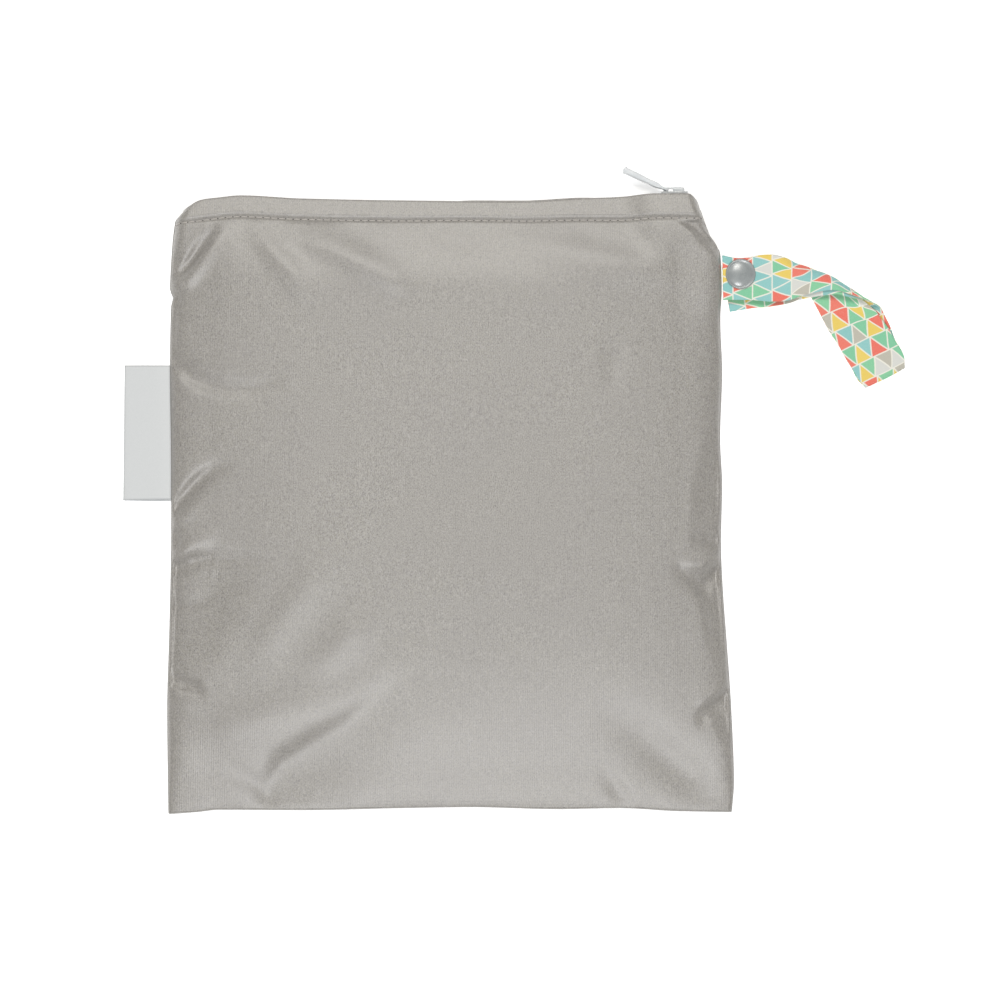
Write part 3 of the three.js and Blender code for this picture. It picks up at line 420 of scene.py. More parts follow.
def back_height(u, v, y):
    """The back lies flat and turns up to its seams, more where the strap is sewn in."""
    flat = smoothstep(from_seams(u), 0, SEAM_LIFT_REACH) * smoothstep(
        v * BODY_HEIGHT, 0, SEAM_LIFT_REACH
    )
    mouth_fade = 1 - smoothstep(v, MOUTH_BLEND_START, HEM_START)
    from_strap = (y - STRAP_CENTRE_Y) / STRAP_SEAM_LIFT_REACH
    at_strap = STRAP_SEAM_LIFT * np.exp(-(from_strap**2)) * smoothstep(u, 0.5, 1)
    return (SEAM_LIFT * mouth_fade + at_strap) * (1 - flat)


# The relief of the cloth

GROOVE_DEPTH = 0.45
GROOVE_HALF_WIDTH = 0.6
HEM_PUFF = 1.4
UNDER_HEM_RISE = 2.0
UNDER_HEM_REACH = 9.0
PUCKER_HEIGHT = 0.28
PUCKER_PITCH = 11.0
PUCKER_REACH = 16.0
SEAM_PUCKER_HEIGHT = 0.3
SEAM_PUCKER_PITCH = 8.0
SEAM_PUCKER_REACH = 9.0
ROLL_HEIGHT = 0.45
ROLL_LENGTHS = (62, 27)
ROLL_EDGE_FADE = (4, 40)
SMALL_ROLL_SHARE = 0.35
SEAM_FADE = 4
HEM_PUFF_FADE = 3
UNDER_HEM_TAIL = 6
UNDER_HEM_SIDE_FADE = (6, 30)
HEM_PUCKER_SHARE = 0.6


def cloth_relief(x, y, u, v, seed):
    """Small relief that both panels have: stitch groove, puckers at the seams, and soft rolls."""
    below = (1 - v) * BODY_HEIGHT
    from_stitch = below - stitch_drop(u)
    away = smoothstep(from_seams(u), 0, SEAM_FADE)
    relief = -GROOVE_DEPTH * np.exp(-((from_stitch / GROOVE_HALF_WIDTH) ** 2))
    in_hem = smoothstep(-from_stitch, 0, HEM_PUFF_FADE) * np.clip(below / HEM_DEPTH, 0, 1)
    relief += HEM_PUFF * in_hem
    under = np.maximum(from_stitch, 0)
    rise = (1 - np.exp(-under / UNDER_HEM_REACH)) * np.exp(-under / (UNDER_HEM_TAIL * UNDER_HEM_REACH))
    relief += UNDER_HEM_RISE * rise * smoothstep(from_seams(u), *UNDER_HEM_SIDE_FADE)
    under_hem = np.exp(-under / PUCKER_REACH) * smoothstep(from_stitch, -1, 5)
    relief += PUCKER_HEIGHT * soft_noise(x, y / 6, PUCKER_PITCH, seed) * under_hem
    relief += HEM_PUCKER_SHARE * PUCKER_HEIGHT * soft_noise(x, y / 3, PUCKER_PITCH / 2, seed + 1) * in_hem
    near_seam = np.exp(-from_seams(u) / SEAM_PUCKER_REACH) * smoothstep(from_stitch, 0, 8)
    relief += 2 * SEAM_PUCKER_HEIGHT * soft_noise(x / 3, y, SEAM_PUCKER_PITCH, seed + 2) * near_seam
    near_fold = np.exp(-v * BODY_HEIGHT / SEAM_PUCKER_REACH)
    relief += SEAM_PUCKER_HEIGHT * soft_noise(x, y / 3, SEAM_PUCKER_PITCH * 2, seed + 3) * near_fold
    middle = smoothstep(from_seams(u), *ROLL_EDGE_FADE) * smoothstep(from_stitch, *ROLL_EDGE_FADE)
    middle *= smoothstep(v, 0.02, 0.15)
    relief += ROLL_HEIGHT * soft_noise(x, y, ROLL_LENGTHS[0], seed + 4) * middle
    relief += SMALL_ROLL_SHARE * ROLL_HEIGHT * soft_noise(x, y, ROLL_LENGTHS[1], seed + 5) * middle
    return relief * away


# The back's edge shows behind the front's for a stretch of the mouth, fading in and out along X
BACK_EDGE_SHOWS = 1.2
BACK_EDGE_IN = (-8, 12)
BACK_EDGE_OUT = (62, 88)
BACK_SEED = 40
FRONT_SEED = 7


def back_surface(u, v):
    x, y = panel_plan(u, v)
    shows = smoothstep(x, *BACK_EDGE_IN) * (1 - smoothstep(x, *BACK_EDGE_OUT)) * smoothstep(v, 0.93, 1)
    relief = np.maximum(0, cloth_relief(x, y, u, v, BACK_SEED))
    z = back_height(u, v, y) - np.minimum(relief, back_height(u, v, y)) * 0.5
    return np.stack([x, y + BACK_EDGE_SHOWS * shows, z], -1)


def front_surface(u, v):
    x, y = panel_plan(u, v)
    relief = fold_height(x, y, u, v) - corner_drop(x, y, u, v) + cloth_relief(x, y, u, v, FRONT_SEED)
    over = pouch_thickness(u, v) + relief - FRONT_ABOVE_BACK
    thick = FRONT_ABOVE_BACK + 0.5 * (over + np.sqrt(over**2 + PRESSED_FLAT**2))
    return np.stack([x, y, back_height(u, v, y) + thick], -1)


COLUMNS = 200
PANEL_ROWS = 124
STITCH_ROWS = 26
HEM_ROWS = 10
STITCH_BAND = (8.0, -3.0)
INNER_ROWS = 48
INNER_REACH = 4
SEAM_POINTS = 5
SEAM_PROUD = 0.7
SEAM_GROOVE = 0.75
SEAM_GROOVE_WIDTH = 0.14
WALL_SHARE = 0.42
INNER_EASE = (0.9, 0.94)
ROW_CROWDING = 0.92
FOLD_TURNS = 4
HEM_TURNS = 5
EDGE_CROWDING = 0.5


def crowded(count):
    """Shares from 0 to 1, closer together at both ends."""
    t = np.linspace(0, 1, count)
    return t - EDGE_CROWDING * np.sin(2 * math.pi * t) / (2 * math.pi)


def surface_normals(points):
    """Unit normals of a grid of points, first axis along u and second along v."""
    normal = np.cross(np.gradient(points, axis=0), np.gradient(points, axis=1))
    return normal / np.linalg.norm(normal, axis=-1, keepdims=True)


def lowest_nearby(height):
    """The lowest height of each point's neighbours, a few rows and one column away."""
    columns, rows = height.shape
    padded = np.pad(height, ((1, 1), (INNER_REACH, INNER_REACH)), mode="edge")
    lowest = height
    for i in range(3):
        for j in range(2 * INNER_REACH + 1):
            lowest = np.minimum(lowest, padded[i : i + columns, j : j + rows])
    return lowest


def row_shares(u):
    """Rows from the bottom fold to the mouth, closer together along the stitch line."""
    low = 1 - (stitch_drop(u) + STITCH_BAND[0]) / BODY_HEIGHT
    high = 1 - (stitch_drop(u) + STITCH_BAND[1]) / BODY_HEIGHT
    panel = lerp(0, low, np.linspace(0, 1, PANEL_ROWS)[None] ** ROW_CROWDING)
    band = lerp(low, high, np.linspace(0, 1, STITCH_ROWS)[None])
    hem = lerp(high, 1, np.linspace(0, 1, HEM_ROWS)[None])
    return np.concatenate([panel[:, :-1], band[:, :-1], hem], 1)


def side_walls(front, back, outward, proud):
    """Points between the front's and the back's edge: each edge rolls out, with a groove between."""
    share = (np.arange(1, SEAM_POINTS + 1) / (SEAM_POINTS + 1))[:, None]
    swell = np.sin(math.pi * share) ** 0.5 - SEAM_GROOVE * np.exp(-(((share - 0.5) / SEAM_GROOVE_WIDTH) ** 2))
    wall = lerp(front[None], back[None], share[..., None])
    wall[..., 0] += outward * proud * swell
    return wall


def loops_from(front, back, proud):
    """Closed loops round the pouch, one for each row: front, right wall, back, left wall."""
    right = side_walls(front[-1], back[-1], 1, proud)
    left = side_walls(back[0], front[0], -1, proud)
    return np.concatenate([front, right, back[::-1], left], 0).transpose(1, 0, 2)


def inner_walls(front, back, v):
    """The inside faces, one wall in from the outside and two in the hem, and how thick they make it."""
    thin = (front[..., 2] - back[..., 2]) * WALL_SHARE
    in_hem = smoothstep(v, HEM_START - 0.8 / BODY_HEIGHT, HEM_START)
    layers = np.minimum(thin, WALL * (1 + in_hem))[..., None]
    inner_front = front - surface_normals(front) * layers
    inner_back = back + surface_normals(back) * layers
    floor_z = inner_back[..., 2] + 0.1 * layers[..., 0]
    low_z = np.maximum(lowest_nearby(inner_front[..., 2]), np.minimum(floor_z, inner_front[..., 2]))
    inner_front[..., 2] = lerp(low_z, inner_front[..., 2], smoothstep(v, *INNER_EASE))
    for inner in (inner_front, inner_back):
        inner[0, :, 0] += WALL
        inner[-1, :, 0] -= WALL
    return inner_front, inner_back, layers


def fold_loops(front, back):
    """Loops that close the pouch in a half round past its bottom rows."""
    middle = (front[:, :1] + back[:, :1]) / 2
    for k in range(FOLD_TURNS, 0, -1):
        turn = 0.5 * math.pi * k / (FOLD_TURNS + 0.4)
        rows = [lerp(middle, side[:, :1], math.cos(turn)) for side in (front, back)]
        for row in rows:
            row[..., 1] -= 0.5 * SEAM_THICKNESS * math.sin(turn)
        yield loops_from(*rows, SEAM_PROUD * math.cos(turn))


def hem_loops(outside, inside, layers):
    """Loops that turn the hem's edge in, from the outside faces to the inside ones."""
    for k in range(1, HEM_TURNS + 1):
        turn = math.pi * k / (HEM_TURNS + 1)
        share = 0.5 * (1 - math.cos(turn))
        rows = [lerp(outer[:, -1:], inner[:, -1:], share) for outer, inner in zip(outside, inside)]
        for row in rows:
            row[..., 1] += layers[:, -1:, 0] * 0.5 * math.sin(turn)
        yield loops_from(*rows, SEAM_PROUD * (1 - share))


def pouch_shell(material):
    """The hollow pouch: round the bottom fold, up both faces, over the hem's edge and down inside."""
    u = crowded(COLUMNS)[:, None]
    v = row_shares(u)
    front, back = front_surface(u, v), back_surface(u, v)
    inner_front, inner_back, layers = inner_walls(front, back, v)
    depth = np.linspace(v.shape[1] - 1, 3, INNER_ROWS).astype(int)
    rings = np.concatenate(
        [
            *fold_loops(front, back),
            loops_from(front, back, SEAM_PROUD),
            *hem_loops((front, back), (inner_front, inner_back), layers),
            loops_from(inner_front[:, depth], inner_back[:, depth], 0.0),
        ]
    )
    index = np.arange(rings.shape[0] * rings.shape[1]).reshape(rings.shape[:2])
    faces = [list(q) for q in closed_quads(index)]
    for ring, turned in ((index[0], False), (index[-1], True)):
        faces += close_ring(ring, turned)
    piece = make_piece("pouch_shell", rings.reshape(-1, 3), faces, material)
    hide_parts("bag_body")
    return piece


def close_ring(ring, turned):
    """Faces that close a flat ring between its front and its back."""
    front = ring[:COLUMNS]
    right = ring[COLUMNS : COLUMNS + SEAM_POINTS]
    back = ring[COLUMNS + SEAM_POINTS : 2 * COLUMNS + SEAM_POINTS][::-1]
    left = ring[2 * COLUMNS + SEAM_POINTS :]
    faces = [[front[i], back[i], back[i + 1], front[i + 1]] for i in range(COLUMNS - 1)]
    faces.append([front[-1], *right, back[-1]])
    faces.append([back[0], *left, front[0]])
    return [face[::-1] if turned else face for face in faces]


# The hem's stitches: short threads in the groove, front and back, with painted shade at the needle holes
# between them

STITCH_PITCH = 3.7
STITCH_LENGTH = 2.9
THREAD_RADIUS = 0.27
# size of the dark pieces that paint the needle holes' shade
HOLE_LENGTH = 1.1
HOLE_RADIUS = 0.24
STITCH_RINGS = 7
STITCH_SIDES = 6
STITCH_BOW = 5.0
STITCH_TAPER = 0.9
STITCH_ABOVE_FLOOR = 1.1


def stitch_row(surface, outward, length, radius, shift, lift):
    """Short threads along the stitch line, each bowed out of the cloth."""
    points, faces = [], []
    share = np.linspace(-0.5, 0.5, STITCH_RINGS)
    count = round(MOUTH_WIDTH / STITCH_PITCH)
    for k in range(count - 1):
        u = (k + 0.5 + shift + share * length / STITCH_PITCH) / count
        path = surface(u, 1 - stitch_drop(u) / BODY_HEIGHT)
        path[:, 2] += outward * radius * (lift - STITCH_BOW * share**2)
        path[:, 2] = np.maximum(path[:, 2], STITCH_ABOVE_FLOOR * radius)
        rings = tube_rings(path, radius * (1.08 - STITCH_TAPER * np.abs(share)), STITCH_SIDES, (0, 0, 1))
        faces += tube_faces(STITCH_RINGS, STITCH_SIDES, k * STITCH_RINGS * STITCH_SIDES)
        points.append(rings.reshape(-1, 3))
    return np.concatenate(points), faces


def hem_stitches(side, surface, outward, thread_look, shade_look):
    """The threads of one hem, and between them dark pieces that paint the shade in the needle holes."""
    rows = (
        (f"hem_stitches_{side}", STITCH_LENGTH, THREAD_RADIUS, 0.0, 1.3, thread_look),
        # dark capsules between the stitches: painted shade of the needle holes, not a colour of the cloth
        (f"hem_hole_shade_{side}", HOLE_LENGTH, HOLE_RADIUS, 0.5, 0.4, shade_look),
    )
    for name, length, radius, shift, lift, look in rows:
        points, faces = stitch_row(surface, outward, length, radius, shift, lift)
        make_piece(name, points, faces, look)


# The zipper

ZIP_PITCH = 1.5
COIL_WIRE = 0.33
COIL_TURN_POINTS = 12
COIL_SIDES = 6
COIL_HOOK = 0.5
COIL_START_INSET = 9.0
SLIDER_CENTRE_X = MOUTH_RIGHT - SLIDER_FROM_MOUTH_END
SLIDER_RIGHT = SLIDER_CENTRE_X + SLIDER_LENGTH / 2
COIL_END = SLIDER_RIGHT - SLIDER_NECK_LENGTH - CLEARANCE
COIL_START = MOUTH_LEFT + COIL_START_INSET


def mouth_middle(x):
    """The hem's edge and the middle height between its faces, at a place along X."""
    u = (np.asarray(x, float) - MOUTH_LEFT) / MOUTH_WIDTH
    return top_y(u), pouch_thickness(u, np.ones_like(u)) / 2


def zipper_coils(material):
    """Two interlocked coils, each a flattened spiral that hooks past the middle line."""
    turns = int((COIL_END - COIL_START) / ZIP_PITCH) - 1
    phase = np.linspace(0, turns, turns * COIL_TURN_POINTS + 1)
    half = COIL_WIDTH / 2 - COIL_WIRE
    points, faces = [], []
    for side in (-1, 1):
        x = COIL_START + COIL_WIRE + ZIP_PITCH * (phase + 0.25 * (side + 1))
        y, z = mouth_middle(x)
        angle = 2 * math.pi * phase
        width = 0.5 * (half + COIL_HOOK)
        across = side * (0.5 * (half - COIL_HOOK) + width * np.cos(angle))
        rise = (COIL_HEIGHT / 2 - COIL_WIRE) * np.sin(angle)
        path = np.stack([x, y - COIL_HEIGHT / 2 + rise, z + across], -1)
        rings = tube_rings(path, COIL_WIRE, COIL_SIDES, (1, 0.02, 0.01))
        faces += tube_faces(len(path), COIL_SIDES, sum(len(p) for p in points))
        points.append(rings.reshape(-1, 3))
    piece = make_piece("zipper_coils", np.concatenate(points), faces, material)
    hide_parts("zipper_coil")


TAPE_STATIONS = 150
TAPE_BEND = 5
TAPE_ROWS = 6
TAPE_BEFORE_COIL = 4
TAPE_END_INSET = 5.5
TAPE_LEAVES_HEM = (9, 4)


def zipper_tape(side, material):
    """A woven tape: a leaf inside the hem that bends in under the coil."""
    front = side == "front"
    inward = -1 if front else 1
    u = np.linspace(
        COIL_START - MOUTH_LEFT - TAPE_BEFORE_COIL, MOUTH_WIDTH - TAPE_END_INSET, TAPE_STATIONS
    ) / MOUTH_WIDTH
    surface = front_surface if front else back_surface
    middle_y, middle_z = mouth_middle(MOUTH_LEFT + u * MOUTH_WIDTH)
    gap = 2 * WALL + CLEARANCE + TAPE_THICKNESS / 2
    flange_depth = COIL_HEIGHT + CLEARANCE + TAPE_THICKNESS / 2
    profile = []
    for depth in np.linspace(TAPE_DEPTH, flange_depth + 1.5, TAPE_ROWS):
        level = surface(u, 1 - np.full_like(u, depth) / BODY_HEIGHT)
        flat = middle_z - inward * (pouch_thickness(u, np.ones_like(u)) / 2)
        z = lerp(level[:, 2], flat, smoothstep(depth, *TAPE_LEAVES_HEM)) + inward * gap
        profile.append(np.stack([level[:, 0], middle_y - depth, z], -1))
    leaf_top = profile[-1]
    flange_z = middle_z - inward * TAPE_SPLIT / 2
    for k in range(1, TAPE_BEND + 1):
        turn = 0.5 * math.pi * k / TAPE_BEND
        z = lerp(leaf_top[:, 2], flange_z, 0.45 * (1 - math.cos(turn)))
        y = leaf_top[:, 1] + (middle_y - flange_depth - leaf_top[:, 1]) * math.sin(turn)
        profile.append(np.stack([leaf_top[:, 0], y, z], -1))
    last = profile[-1].copy()
    last[:, 2] = flange_z
    profile.append(last)
    sheet = np.stack(profile, 1)
    normal = surface_normals(sheet) * TAPE_THICKNESS / 2
    piece = band_piece(f"zipper_tape_{side}_cloth", sheet + normal, sheet - normal, material)
    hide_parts(f"zipper_tape_{side}")
    return piece


MERGE_DISTANCE = 1e-5
FLAT_DEGREES = 2
SHARP_DEGREES = 28


def rounded_copy(node, name, body, width, material):
    """A copy of a hard CAD node with its edges rounded over."""
    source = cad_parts[node]
    mesh = source.data.copy()
    mesh.name = name
    piece = add_object(name, mesh)
    work = bmesh.new()
    work.from_mesh(mesh)
    bmesh.ops.remove_doubles(work, verts=work.verts, dist=MERGE_DISTANCE)
    flat, sharp = math.radians(FLAT_DEGREES), math.radians(SHARP_DEGREES)
    bmesh.ops.dissolve_limit(work, angle_limit=flat, verts=work.verts, edges=work.edges)
    edges = [e for e in work.edges if e.is_manifold and e.calc_face_angle() > sharp]
    bmesh.ops.bevel(
        work, geom=edges, offset=width * METRES, segments=3, profile=0.5, affect="EDGES",
        clamp_overlap=True,
    )
    work.to_mesh(mesh)
    work.free()
    mesh.materials.clear()
    mesh.materials.append(material)
    mesh.shade_smooth()
    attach(piece, body)
    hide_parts(node)


PULL_PIVOT = (108.28, 157.3, 7.89)
PULL_DEGREES = 155.0
# Bars of the moulded grip: where they start and end along the pull, their thickness at both, their
# low and high side, and the lip's thickness at the end
GRIP_BARS = [
    (9.0, 24.2, 2.4, 3.0, -3.6, 3.6, 3.7),
    (2.6, 10.0, 1.1, 2.4, 2.0, 3.6, 2.4),
    (2.6, 10.0, 1.1, 2.4, -3.6, -2.0, 2.4),
]
BRIDGE_FROM = (111.0, 157.5, 7.89)
BRIDGE_BARS = [(0.0, 5.6, 2.8, 2.6, -1.9, 1.9, 2.2)]


BAR_RINGS = [0.0, 0.03, *np.linspace(0.08, 0.9, 8), 0.93, 0.96, 0.985, 1.0]
BAR_SIDES = 40
BAR_SIDE_POWER = 0.32
BAR_FACE_POWER = 0.5
BAR_LIP_FROM = (0.9, 0.95)
BAR_FULL_AT = 0.6


def moulded_bars(name, body, start, degrees, bars, material):
    """Round-edged bars that run one way from a point, each with a lip at its end."""
    run = np.array([*direction(degrees), 0.0])
    side = np.array([-run[1], run[0], 0.0])
    share = np.array(BAR_RINGS)
    turn = np.linspace(0, 2 * math.pi, BAR_SIDES, endpoint=False)
    wide = np.sign(np.cos(turn)) * np.abs(np.cos(turn)) ** BAR_SIDE_POWER
    thick = np.sign(np.sin(turn)) * np.abs(np.sin(turn)) ** BAR_FACE_POWER
    points, faces = [], []
    for first, last, thin, full, low, high, lip in bars:
        half = 0.5 * lerp(thin, full, smoothstep(share, 0, BAR_FULL_AT))
        half = lerp(half, 0.5 * lip, smoothstep(share, *BAR_LIP_FROM))
        half *= np.sqrt(1 - np.clip((share - 0.96) / 0.045, 0, 0.96) ** 2)
        half *= lerp(0.7, 1.0, smoothstep(share, 0, 0.05))
        up = 0.5 * (low + high) + 0.5 * (high - low) * wide
        ring = np.array(start) + lerp(first, last, share)[:, None, None] * run
        ring = ring + (half[:, None] * thick)[..., None] * side
        ring = ring + up[None, :, None] * np.array([0.0, 0.0, 1.0])
        faces += tube_faces(len(share), len(turn), sum(len(p) for p in points))
        points.append(ring.reshape(-1, 3))
    piece = make_piece(name, np.concatenate(points), faces, material, body=body)


# The strap

FRONT_TURN = (3.3, 5.2)
BACK_TURN = (1.3, 2.9)
TURN_OPENS = (-34.0, 12.0)
RAMP = {"short": 5.0, "long": 26.0, "from": -38.0, "to": 10.0}
END_FOLD_RADIUS = 1.3
LEAF_FLOOR_Z = STRAP_THICKNESS / 2 + 0.2
GATHER_LENGTH = 48.0
SEAM_CLIMB = 3.0
CAP_DIAMETER = 15.0
CAP_THICKNESS = 1.2
BACK_CAP_DIAMETER = 13.0
BACK_CAP_THICKNESS = 1.0
SOCKET_HEIGHT = 1.8
STUD_BASE_HEIGHT = 1.0
STUD_POST_HEIGHT = 1.2

BACK_LEAF_Z = BACK_CAP_THICKNESS + CLEARANCE + STRAP_THICKNESS / 2
STUD_Z = BACK_LEAF_Z + STRAP_THICKNESS / 2 + CLEARANCE
SOCKET_Z = STUD_Z + STUD_BASE_HEIGHT + CLEARANCE
FRONT_LEAF_Z = SOCKET_Z + SOCKET_HEIGHT + CLEARANCE + STRAP_THICKNESS / 2
CAP_Z = FRONT_LEAF_Z + STRAP_THICKNESS / 2 + CLEARANCE


def right_seam_share(y):
    return (y - bottom_y(1.0)) / (top_y(1.0) - bottom_y(1.0))


def right_seam_x(y):
    return right_x(np.clip(right_seam_share(y), 0, 1))


STRAP_SEAM_X = float(right_seam_x(STRAP_CENTRE_Y))
STRAP_SEAM_Z = float(
    back_height(1.0, right_seam_share(STRAP_CENTRE_Y), STRAP_CENTRE_Y) + SEAM_THICKNESS / 2
)
SNAP_X = STRAP_SEAM_X + SNAP_FROM_SEAM
SNAP_Y = STRAP_CENTRE_Y + SNAP_ABOVE_CENTRE
STRAP_END = {"at": (STRAP_SEAM_X + 81.4, STRAP_CENTRE_Y - 49.8), "degrees": -60.7}
FRONT_LEAF = {
    "start": (STRAP_SEAM_X + 2 * CLEARANCE, STRAP_CENTRE_Y),
    "degrees": 0.0,
    "crest": (STRAP_SEAM_X + 53.8, STRAP_CENTRE_Y - 3.2),
    "crest_degrees": -27.5,
    "turn": FRONT_TURN,
    "start_z": FRONT_LEAF_Z,
    "end_z": LEAF_FLOOR_Z,
    "length": 117.0,
    "swing": (5.9, 26.0, 62.0),
}
BACK_LEAF = {
    "start": (STRAP_SEAM_X + 2.3, STRAP_CENTRE_Y - 5.9),
    "degrees": 9.6,
    "crest": (STRAP_SEAM_X + 50.1, STRAP_CENTRE_Y - 1.0),
    "crest_degrees": -25.6,
    "turn": BACK_TURN,
    "start_z": BACK_LEAF_Z,
    "end_z": LEAF_FLOOR_Z + 2 * END_FOLD_RADIUS,
    "length": 111.4,
    "swing": (0.0, 0.0, 1.0),
}
STRAP_FOLD_LENGTH = math.pi * END_FOLD_RADIUS
STRAP_LENGTH = FRONT_LEAF["length"] + STRAP_FOLD_LENGTH + BACK_LEAF["length"]


def leaf_points(leaf, along, across):
    """A leaf's middle surface: flat, then curled over a slanting crest and back under it."""
    run = direction(leaf["degrees"])
    swing = leaf["swing"][0] * smoothstep(along, leaf["swing"][1], leaf["swing"][2])
    x = leaf["start"][0] + along * run[0] - across * run[1]
    y = leaf["start"][1] + along * run[1] + across * run[0] + swing
    axis = direction(leaf["crest_degrees"])
    normal = (-axis[1], axis[0])
    off_x, off_y = x - leaf["crest"][0], y - leaf["crest"][1]
    along_crest = off_x * axis[0] + off_y * axis[1]
    past = off_x * normal[0] + off_y * normal[1]
    radius = lerp(*leaf["turn"], smoothstep(along_crest, *TURN_OPENS))
    opened = smoothstep(along_crest, RAMP["from"], RAMP["to"])
    ramp_length = lerp(RAMP["short"], RAMP["long"], opened)
    top_z = leaf["end_z"] + 2 * radius
    half_turn = math.pi * radius
    ramp_share = np.clip((past + ramp_length) / ramp_length, 0, 1)
    rise = ramp_share**2 * (3 - 2 * ramp_share)
    turn = np.clip(past / radius, 0, math.pi)
    z = lerp(leaf["start_z"], top_z, rise) - radius * (1 - np.cos(turn))
    z = np.where(past >= half_turn, leaf["end_z"], z)
    reach = np.where(past > 0, radius * np.sin(turn), past)
    reach = np.where(past >= half_turn, half_turn - past, reach)
    return np.stack(
        [
            leaf["crest"][0] + along_crest * axis[0] + reach * normal[0],
            leaf["crest"][1] + along_crest * axis[1] + reach * normal[1],
            z,
        ],
        -1,
    )


def strap_end_points(across, z):
    run = direction(STRAP_END["degrees"])
    x = STRAP_END["at"][0] - across * run[1]
    y = STRAP_END["at"][1] + across * run[0]
    return np.stack(np.broadcast_arrays(x, y, z), -1)


def drawn_leaf_points(leaf, along, across):
    """A leaf drawn to the end fold over its last stretch."""
    end = leaf_points(leaf, np.full_like(along, leaf["length"]), across)
    target = strap_end_points(-across, end[..., 2])
    pull = smoothstep(along, leaf["length"] - GATHER_LENGTH, leaf["length"])
    return leaf_points(leaf, along, across) + (target - end) * pull[..., None]


def strap_points(along, across):
    """The strap's middle surface, from the seam round the end fold to its free end."""
    along, across = np.broadcast_arrays(along, across)
    front = drawn_leaf_points(FRONT_LEAF, along, across)
    climb = 1 - smoothstep(along, 0, SEAM_CLIMB)
    front[..., 2] -= (FRONT_LEAF_Z - STRAP_SEAM_Z) * climb
    front[..., 0] += (right_seam_x(front[..., 1]) - STRAP_SEAM_X) * climb
    back = drawn_leaf_points(BACK_LEAF, STRAP_LENGTH - along, across)
    folded = along - FRONT_LEAF["length"]
    turn = np.clip(folded / END_FOLD_RADIUS, 0, math.pi)
    fold = strap_end_points(-across, LEAF_FLOOR_Z + END_FOLD_RADIUS * (1 - np.cos(turn)))
    run = direction(STRAP_END["degrees"])
    fold[..., 0] += run[0] * END_FOLD_RADIUS * np.sin(turn)
    fold[..., 1] += run[1] * END_FOLD_RADIUS * np.sin(turn)
    on_front = (folded <= 0)[..., None]
    on_back = (folded >= STRAP_FOLD_LENGTH)[..., None]
    return eased(np.where(on_front, front, np.where(on_back, back, fold)))


# How the lying strap is eased into a curve, as x, y and the shift there in x and y
STRAP_EASE = [
    (135.5, 126.3, 0.0, 0.0), (142.0, 126.3, 0.0, -3.6), (148.5, 126.3, 0.0, -2.4),
    (155.5, 126.3, 0.0, -0.6), (162.0, 126.3, 0.0, -0.6), (171.0, 126.3, 0.0, -4.2),
    (180.0, 121.5, 0.0, -2.6), (189.5, 116.8, 0.0, -2.2), (199.0, 112.0, 0.0, -3.8),
    (208.0, 107.5, 0.6, -5.6), (213.0, 97.5, 1.4, -1.6), (218.0, 88.0, 2.4, 0.0),
    (224.5, 74.0, 3.2, 0.4), (227.0, 68.8, 0.0, 1.0), (207.0, 57.5, -0.8, 0.8),
    (196.0, 77.0, -1.2, 0.0), (189.5, 88.0, -2.4, 0.0), (184.0, 98.0, -2.4, 0.0),
    (181.0, 103.7, -1.0, 0.0), (164.5, 103.7, 0.0, -1.0), (145.0, 115.0, 0.0, 0.0),
    (136.0, 112.0, 0.0, 0.0), (135.7, 103.0, 0.0, 0.0), (205.0, 85.0, 0.0, 0.0),
    (165.0, 114.0, 0.0, 0.0), (190.0, 106.0, 0.0, 0.0),
]
EASE_REACH = 6.5


def eased(points):
    """The points shifted in plan by the nearby rows of STRAP_EASE."""
    total = np.full(points.shape[:-1], 0.12)
    shift = np.zeros(points.shape[:-1] + (2,))
    for x, y, shift_x, shift_y in STRAP_EASE:
        far = (points[..., 0] - x) ** 2 + (points[..., 1] - y) ** 2
        weight = np.exp(-far / EASE_REACH**2)
        total += weight
        shift += weight[..., None] * np.array([shift_x, shift_y])
    points[..., :2] += shift / total[..., None]
    return points


STRAP_STATIONS = 330
STRAP_ACROSS = 28
STRAP_EDGE_ROUND = 0.55
STRAP_GROOVE = 0.16
STRAP_GROOVE_INSET = 1.7
STRAP_NORMAL_STEP = 0.3
CORNER_TAKEN = 1.3
STRAP_RIPPLE = 0.12
PRINT_UNDER_SHIFT = 300


def strap_normals(along, across):
    step = STRAP_NORMAL_STEP
    run = strap_points(np.minimum(along + step, STRAP_LENGTH), across) - strap_points(
        np.maximum(along - step, 0), across
    )
    wide = strap_points(along, across + step) - strap_points(along, across - step)
    normal = np.cross(run, wide)
    return normal / np.linalg.norm(normal, axis=-1, keepdims=True)


